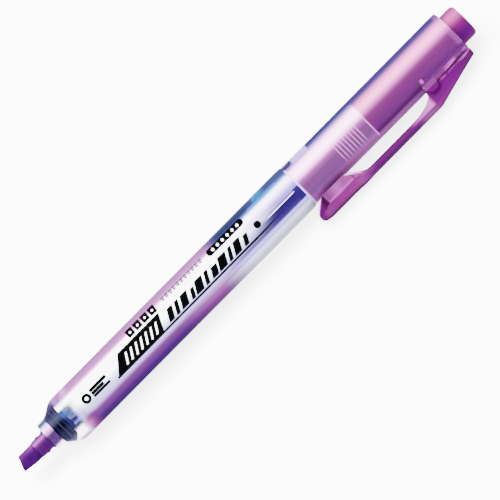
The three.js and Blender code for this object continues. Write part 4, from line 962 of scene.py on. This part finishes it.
# station: s, outer h, inner h, half-width of plate, half-width of block, step height
raw = [
    (87.72, 9.95, 9.55, 0.9, 0.85, 9.75), (87.82, 10.1, 9.45, 1.3, 1.2, 9.7), (87.95, 10.22, 9.3, 1.55, 1.45, 9.65), (88.3, 10.34, 8.98, 1.95, 1.8, 9.45), (88.65, 10.38, 8.72, 2.18, 2.0, 9.3),
    (89.2, 10.4, 8.3, 2.42, 2.15, 9.0), (89.7, 10.4, 7.92, 2.58, 2.25, 8.8), (90.2, 10.4, 7.55, 2.75, 2.35, 8.7), (90.9, 10.4, 7.08, 2.75, 2.35, 8.65), (91.25, 10.4, 6.88, 2.75, 2.35, 8.65), (91.7, 10.4, 6.8, 2.75, 2.35, 8.65),
    (94.0, 10.4, 6.8, 2.75, 2.35, 8.65), (97.4, 10.4, 6.8, 2.75, 2.35, 8.65), (97.9, 10.4, 6.85, 2.75, 2.35, 8.65), (98.4, 10.4, 7.02, 2.75, 2.35, 8.65), (99.2, 10.45, 7.35, 2.73, 2.33, 8.7),
    (99.8, 10.52, 7.65, 2.7, 2.3, 8.8), (100.6, 10.62, 8.25, 2.6, 2.2, 9.0), (101.4, 10.72, 9.0, 2.35, 2.1, 9.4), (102.2, 10.8, 9.6, 2.1, 1.98, 9.9), (102.9, 10.85, 9.88, 1.9, 1.84, 10.2),
    (103.6, 10.89, 9.94, 1.77, 1.73, 10.3), (105.0, 10.9, 9.95, 1.75, 1.72, 10.35), (110.0, 10.9, 9.95, 1.75, 1.72, 10.35), (115.0, 10.9, 9.95, 1.75, 1.72, 10.35), (117.6, 10.9, 9.95, 1.75, 1.72, 10.35),
    (119.0, 10.9, 9.84, 1.75, 1.72, 10.3), (120.2, 10.9, 9.68, 1.75, 1.72, 10.2), (121.5, 10.9, 9.4, 1.75, 1.72, 10.1), (122.6, 10.9, 9.03, 1.76, 1.73, 10.0), (123.6, 10.9, 8.5, 1.77, 1.73, 9.8),
    (124.2, 10.9, 8.05, 1.78, 1.74, 9.7), (124.45, 10.9, 7.4, 1.78, 1.74, 9.6), (124.6, 10.89, 6.85, 1.78, 1.74, 9.5), (125.0, 10.86, 6.75, 1.8, 1.76, 9.4), (125.6, 10.73, 6.75, 1.8, 1.76, 9.3),
    (126.4, 10.5, 6.75, 1.8, 1.76, 9.1), (130.0, 9.48, 6.75, 1.8, 1.76, 8.4), (134.0, 8.36, 6.75, 1.8, 1.76, 7.7), (137.4, 7.42, 6.75, 1.8, 1.76, 7.1), (138.3, 7.2, 6.76, 1.76, 1.72, 7.0), (138.68, 7.08, 6.8, 1.7, 1.68, 6.95)]
clip = loft("clip_v", [section(*x_) for x_ in raw], M_CLIP, smooth=24)
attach(clip, "clip"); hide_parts("clip")
prong = boxp("clip_prong", 131.2, 132.5, -0.78, 0.78, 6.1, 6.85, M_CLIP, 0.1)
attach(prong, "clip")

# ------------------------------------------------------------------ nib and cartridge
# the felt block: a rounded box sheared at the front, one broad face cut towards the writing edge
def nib_mesh():
    tall, wide = 1.8, 1.2
    nh, nw, nsn = 22, 16, 34
    rad = 0.28
    # perimeter of the rounded rectangle, (w, h)
    per = []
    def corner(cw, ch, a0):
        for k in range(5):
            a = math.radians(a0 + 90 * k / 4)
            per.append((cw + rad * math.cos(a), ch + rad * math.sin(a)))
    corner(wide - rad, tall - rad, 0)
    for k in range(1, 6): per.append((wide - rad - (2 * (wide - rad)) * k / 6, tall))
    corner(-(wide - rad), tall - rad, 90)
    for k in range(1, 8): per.append((-wide, tall - rad - (2 * (tall - rad)) * k / 8))
    corner(-(wide - rad), -(tall - rad), 180)
    for k in range(1, 6): per.append((-(wide - rad) + (2 * (wide - rad)) * k / 6, -tall))
    corner(wide - rad, -(tall - rad), 270)
    for k in range(1, 8): per.append((wide, -(tall - rad) + (2 * (tall - rad)) * k / 8))
    rings = []
    n = nsn
    for i in range(n + 1):
        f = i / n
        ring = []
        for w, h in per:
            s_front = 1.25 * (tall - h) / (2 * tall)      # slanted writing edge
            s = s_front + (5.33 - s_front) * f
            depth = s - s_front
            # the chisel: one broad face is cut away towards the writing edge
            ww = min(w, -0.3 + 1.5 * min(1.0, depth / 4.1))
            ring.append(P(s, ww, h))
        rings.append(ring)
    ob = loft("nib_v", rings, M_NIB, smooth=40)
    return ob
nib = nib_mesh()
tex = bpy.data.textures.new("felt", "CLOUDS"); tex.noise_scale = 0.0006
bm = bmesh.new(); bm.from_mesh(nib.data)
bmesh.ops.triangulate(bm, faces=[f for f in bm.faces if len(f.verts) > 4])
bm.to_mesh(nib.data); bm.free()
md = nib.modifiers.new("felt", "DISPLACE"); md.texture = tex; md.strength = 0.00006; md.mid_level = 0.8; md.texture_coords = "LOCAL"
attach(nib, "knock"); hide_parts("nib")
wick = lathe("nib_wick", [(4.9, 0), (4.9, 1.38, 0.1), (46.5, 1.38, 0.1), (46.5, 0)], M_FIBRE, seg=32, closed=False)
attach(wick, "knock")

holder = lathe("nib_holder_v", [
    (5.3, 1.5), (5.3, 2.08, 0.1), (5.6, 2.2, 0.2), (6.6, 2.2, 0.2), (6.8, 2.42, 0.1), (7.3, 2.42, 0.1), (7.5, 2.2, 0.1), (8.4, 2.2, 0.15), (8.7, 2.62, 0.12), (42.3, 2.64), (42.3, 4.1, 0.08), (43.3, 4.1, 0.08), (43.3, 3.42), (46.2, 3.42, 0.1), (46.2, 1.5)],
    M_HOLDER, seg=72)
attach(holder, "knock"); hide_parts("nib_holder")

for nm, pts, mat, sl in (
    ("spring_seat", [(41.55, 2.72), (41.55, 4.2, 0.1), (42.2, 4.2, 0.1), (42.2, 2.72)], M_STEEL, "steel"),
    ("cartridge_tube", [(43.4, 3.5), (43.4, 4.1, 0.08), (92.6, 4.1, 0.08), (92.6, 3.5)], M_CART, "cartridge"),
):
    ob = lathe(nm + "_v", pts, mat, seg=72)
    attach(ob, "knock"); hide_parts(nm)
stop = lathe("spring_stop_ring_v", [(22.05, 2.9, 0.08), (22.05, 4.85, 0.1), (22.65, 4.85, 0.1), (22.65, 2.9, 0.08)], M_FRONT, seg=72)
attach(stop, "barrel"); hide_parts("spring_stop_ring")
res = lathe("ink_reservoir_v", [(46.8, 0), (46.8, 3.38, 0.2), (88.2, 3.38, 0.2), (88.2, 0)], M_FIBRE, seg=64, closed=False)
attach(res, "knock"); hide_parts("ink_reservoir")
plug = lathe("cartridge_end_plug_v", [(88.6, 0), (88.6, 3.42, 0.1), (92.7, 3.42), (92.7, 4.1, 0.08), (93.3, 4.1, 0.08), (93.3, 0)], M_TUBE, seg=64, closed=False)
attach(plug, "knock"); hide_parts("cartridge_end_plug")

# spring: a true helix of round wire, closed end coils
def spring():
    wire, R = 0.25, 3.6
    n_per, nk = 36, 10
    s_from, s_to = 23.15, 41.05
    turns = 9.0
    total = int((turns + 2) * n_per)
    pts = []
    for i in range(total + 1):
        a = 2 * math.pi * i / n_per
        tt = i / n_per
        if tt < 1: s = s_from + 0.52 * tt * 0.0
        elif tt > turns + 1: s = s_to
        else:
            f = (tt - 1) / turns
            s = s_from + (s_to - s_from) * f
        pts.append((s, a))
    verts, faces = [], []
    for i, (s, a) in enumerate(pts):
        for k in range(nk):
            b = 2 * math.pi * k / nk
            r = R + wire * math.cos(b)
            verts.append(P(s + wire * math.sin(b), r * math.cos(a), r * math.sin(a)))
    for i in range(len(pts) - 1):
        for k in range(nk):
            k2 = (k + 1) % nk
            faces.append([i * nk + k, i * nk + k2, (i + 1) * nk + k2, (i + 1) * nk + k])
    faces.append(list(range(nk))); faces.append(list(range(len(pts) * nk - nk, len(pts) * nk)))
    return link("return_spring_v", verts, faces, M_STEEL)
sp = spring()
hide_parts("return_spring")
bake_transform(sp)

# ------------------------------------------------------------------ knock tube, button, latch
tube = lathe("knock_tube_v", [
    (89.0, 4.16), (89.0, 4.45, 0.1), (93.9, 4.45, 0.2), (94.4, 4.25, 0.2), (138.3, 4.25, 0.05), (138.3, 3.5), (93.5, 3.5), (93.5, 4.16)], M_TUBE, seg=128)
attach(tube, "knock"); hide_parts("knock_tube")
button = lathe("knock_button_v", [
    (142.8, 0), (142.8, 4.25, 1.0), (138.35, 4.25, 0.05), (138.35, 3.44), (134.3, 3.44, 0.1), (134.3, 2.6), (141.2, 2.6), (141.2, 0)], M_BUTTON, seg=128, closed=False, n=10)
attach(button, "knock"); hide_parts("knock_button")
arm = boxp("latch_arm_v", 117.0, 132.8, -1.0, 1.0, 4.33, 4.68, M_TUBE, 0.08)
hook = boxp("latch_hook", 131.5, 132.8, -0.75, 0.75, 4.5, 5.5, M_TUBE, 0.12)
boolean(arm, hook, "UNION")
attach(arm, "knock"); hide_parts("latch_arm")
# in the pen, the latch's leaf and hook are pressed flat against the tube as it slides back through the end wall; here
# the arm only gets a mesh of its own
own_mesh(arm)

# ------------------------------------------------------------------ printed marks on the film: plain abstract bars and dots
RM = 5.9945


def patch(name, v0, v1, left, right, mat, r=RM, dv=2.0):
    """a printed patch between psi v0 and v1; left(psi) and right(psi) give its ends in s"""
    n = max(2, int(abs(v1 - v0) / dv) + 1)
    verts, faces = [], []
    cols = 6
    for i in range(n + 1):
        v = v0 + (v1 - v0) * i / n
        a, b = left(v), right(v)
        verts += [Q(a + (b - a) * j / cols, v, r) for j in range(cols + 1)]
    for i in range(n):
        for j in range(cols):
            p = i * (cols + 1) + j
            faces.append([p, p + 1, p + cols + 2, p + cols + 1])
    ob = link(name, verts, faces, mat, 60)
    return ob


def py(y):     # straightened-picture row -> psi on the barrel
    return math.degrees(math.asin(max(-1, min(1, (107 - y) / 13.26 / 6.0))))


def px(x):     # straightened-picture column -> s
    return (x - 22) / 13.26


marks = {"b": [], "w": [], "g": []}


def quad(kind, x0, x1, y0, y1, slant=0.0, r=RM, x0b=None, x1b=None):
    """x0..x1 at the top row y0; the bottom row y1 is shifted by -slant columns"""
    g = {"b": 1.7, "g": 1.4, "w": -0.7}[kind]
    x0, x1, y0, y1 = x0 - g, x1 + g, y0 - g, y1 + g
    x0b, x1b = (None if x0b is None else x0b - g), (None if x1b is None else x1b + g)
    ta, tb = px(x0), px(x1)
    ba, bb = px(x0 - slant if x0b is None else x0b), px(x1 - slant if x1b is None else x1b)
    A, B = py(y0), py(y1)
    f = lambda v: (math.sin(math.radians(v)) - math.sin(math.radians(A))) / (math.sin(math.radians(B)) - math.sin(math.radians(A)))
    mat = {"b": M_BLACK, "w": M_WHITE, "g": M_GREY}[kind]
    marks[kind].append(patch("mark_" + kind, A, B, lambda v: ta + (ba - ta) * f(v), lambda v: tb + (bb - tb) * f(v), mat, r))


def disc_mark(kind, x, y, rx, r=RM, ry=None):
    c, cy_ = px(x), (107 - y) / 13.26
    rx += {"b": 1.7, "g": 1.4, "w": -0.7}[kind]
    R_ = rx / 13.26
    ry_ = (ry if ry else rx) / 13.26
    A = math.degrees(math.asin((cy_ + ry_) / 6.0)); B = math.degrees(math.asin((cy_ - ry_) / 6.0))
    half = lambda v: R_ * math.sqrt(max(0, 1 - ((6.0 * math.sin(math.radians(v)) - cy_) / ry_) ** 2))
    mat = {"b": M_BLACK, "w": M_WHITE, "g": M_GREY}[kind]
    marks[kind].append(patch("mark_" + kind, A, B, lambda v: c - half(v), lambda v: c + half(v), mat, r, 0.6))


# generic mark in the place of the maker's: a ring and three bars
disc_mark("b", 309, 104, 14); disc_mark("w", 309, 104, 6.5, RM + 0.0015)
quad("b", 332, 396, 91, 98); quad("b", 332, 378, 102, 109)
quad("b", 332, 396, 113, 118)
# slanted black panel with plain white slashes
quad("b", 470, 641, 76, 130, x0b=421, x1b=612)
for a in (486, 507, 528, 549, 570, 591, 612):
    quad("w", a, a + 8, 88, 120, slant=32 * 0.62, r=RM + 0.0015)
# a row of plain slanted bars, tall and short by turns
for i, (a, wd, y0, y1) in enumerate(((668, 19, 87, 121), (699, 12, 87, 121), (723, 25, 87, 121), (760, 12, 94, 121), (784, 28, 87, 121), (824, 12, 87, 121), (848, 22, 94, 121),
                                     (882, 30, 87, 121), (924, 12, 87, 121), (948, 24, 87, 121), (984, 14, 94, 121))):
    quad("b", a, a + wd, y0, y1, slant=(y1 - y0) * 0.62)
disc_mark("b", 1038, 100, 10)
# underline, thinning out towards the back
quad("b", 421, 1010, 126.8, 130.2)
quad("b", 1010, 1120, 127.2, 129.6, x0b=1010, x1b=1040)
# small row: four squares with a dot in each, a dashed grey line, a black pill with white dots
for a in (530, 561, 592, 623):
    quad("b", a, a + 22, 46, 67); disc_mark("w", a + 11, 56.5, 4.2, RM + 0.0015)
for i in range(11):
    a = 676 + i * 15.8
    quad("g", a, a + 10, 51, 53.5); quad("g", a + 1, a + 8, 57.5, 60)
def pill(x0, x1, y0, y1):
    cy_ = (107 - (y0 + y1) / 2) / 13.26
    ry_ = (y1 - y0) / 2 / 13.26
    A, B = py(y0), py(y1)
    a, b = px(x0), px(x1)
    half = lambda v: ry_ * 0.8 * (1 - math.sqrt(max(0, 1 - (min(1, abs(6.0 * math.sin(math.radians(v)) - cy_) / ry_)) ** 2)))
    marks["b"].append(patch("mark_b", A, B, lambda v: a + half(v), lambda v: b - half(v), M_BLACK, RM, 0.8))
pill(868, 1016, 47, 69)
for i in range(6):
    disc_mark("w", 891 + i * 20.5, 58, 5.2, RM + 0.0015)
for kind, obs in marks.items():
    bm = bmesh.new()
    for o in obs:
        bm.from_mesh(o.data)
    me = obs[0].data
    bm.to_mesh(me); bm.free()
    for o in obs[1:]:
        bpy.data.objects.remove(o)
    obs[0].name = {"b": "label_marks_black", "w": "label_marks_white", "g": "label_marks_grey"}[kind]
    me.polygons.foreach_set("use_smooth", [True] * len(me.polygons))
    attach(obs[0], "barrel")

# ------------------------------------------------------------------ stage
def stage_mat():
    t = NT("floor_pale")
    tc = t.n("ShaderNodeTexCoord")
    n1 = t.noise(tc.outputs["Object"], 8.0, 3.0)
    c = t.mix(n1, (0.90, 0.90, 0.905), (0.93, 0.93, 0.935))
    p = t.principled(color=c, rough=0.7, spec=0.1)
    e = t.n("ShaderNodeEmission")
    t.l(c, e.inputs[0])
    e.inputs[1].default_value = 4.0
    a = t.n("ShaderNodeAddShader")
    t.l(p, a.inputs[0]); t.l(e.outputs[0], a.inputs[1])
    return t.out(a.outputs[0])


bpy.ops.mesh.primitive_plane_add(size=6, location=(0, 0, 0))
floor = bpy.context.active_object
floor.name = "floor"
floor.data.materials.append(stage_mat())

# the world: pale round the horizon, where the floor ends, and dim overhead
world = bpy.data.worlds.new("soft")
bpy.context.scene.world = world
world.use_nodes = True
wt = world.node_tree
wt.nodes.clear()
tc = wt.nodes.new("ShaderNodeTexCoord")
sp_ = wt.nodes.new("ShaderNodeSeparateXYZ"); wt.links.new(tc.outputs["Generated"], sp_.inputs[0])
rp = wt.nodes.new("ShaderNodeValToRGB"); wt.links.new(sp_.outputs[2], rp.inputs[0])
rp.color_ramp.elements[0].position, rp.color_ramp.elements[0].color = 0.16, (1.0, 1.0, 1.0, 1)
rp.color_ramp.elements[1].position, rp.color_ramp.elements[1].color = 0.36, (0.045, 0.045, 0.05, 1)
bg = wt.nodes.new("ShaderNodeBackground"); wt.links.new(rp.outputs[0], bg.inputs[0])
bg.inputs[1].default_value = 7.5
wo = wt.nodes.new("ShaderNodeOutputWorld"); wt.links.new(bg.outputs[0], wo.inputs[0])


def area(name, loc, target, size, power, size_y=None, color=(1, 1, 1)):
    li = bpy.data.lights.new(name, "AREA")
    li.energy, li.size, li.color = power, size, color
    if size_y:
        li.shape, li.size_y = "RECTANGLE", size_y
    ob = bpy.data.objects.new(name, li)
    bpy.context.scene.collection.objects.link(ob)
    ob.location = loc
    ob.rotation_euler = (Vector(target) - Vector(loc)).to_track_quat("-Z", "Y").to_euler()
    return ob


area("key", (0.0, 0.12, 0.60), (0, 0, 0), 0.9, 42.0, 0.55)
area("fill", (0.0, -0.60, 0.62), (0, 0, 0), 0.7, 14.0, 0.35)

# ------------------------------------------------------------------ camera: square to the pen, 45 degrees up, rolled so that the pen climbs to the right
cam_d = bpy.data.cameras.new("cam")
cam = bpy.data.objects.new("cam", cam_d)
bpy.context.scene.collection.objects.link(cam)
bpy.context.scene.camera = cam
cam_d.lens, cam_d.sensor_width = 450.0, 36.0
DIST = 1.4145
# the middle of the nib-to-button line is the picture's middle, within 8 px
px_m = 0.1131 / 500
cx, cy = 242.6, 242.6
roll = math.radians(45.3)
mid = Vector((0.0, YC, ZC))
X = Vector((1, 0, 0))
right = X * math.cos(roll) - U * math.sin(roll)      # image right, in the world
up = X * math.sin(roll) + U * math.cos(roll)
target = mid + right * ((250 - cx) * px_m) - up * ((250 - cy) * px_m)
cam.location = target + V * DIST
m = Matrix((right, up, V)).transposed().to_4x4()
cam.rotation_mode = "QUATERNION"
cam.rotation_quaternion = m.to_quaternion()
cam_d.clip_start, cam_d.clip_end = 0.01, 10
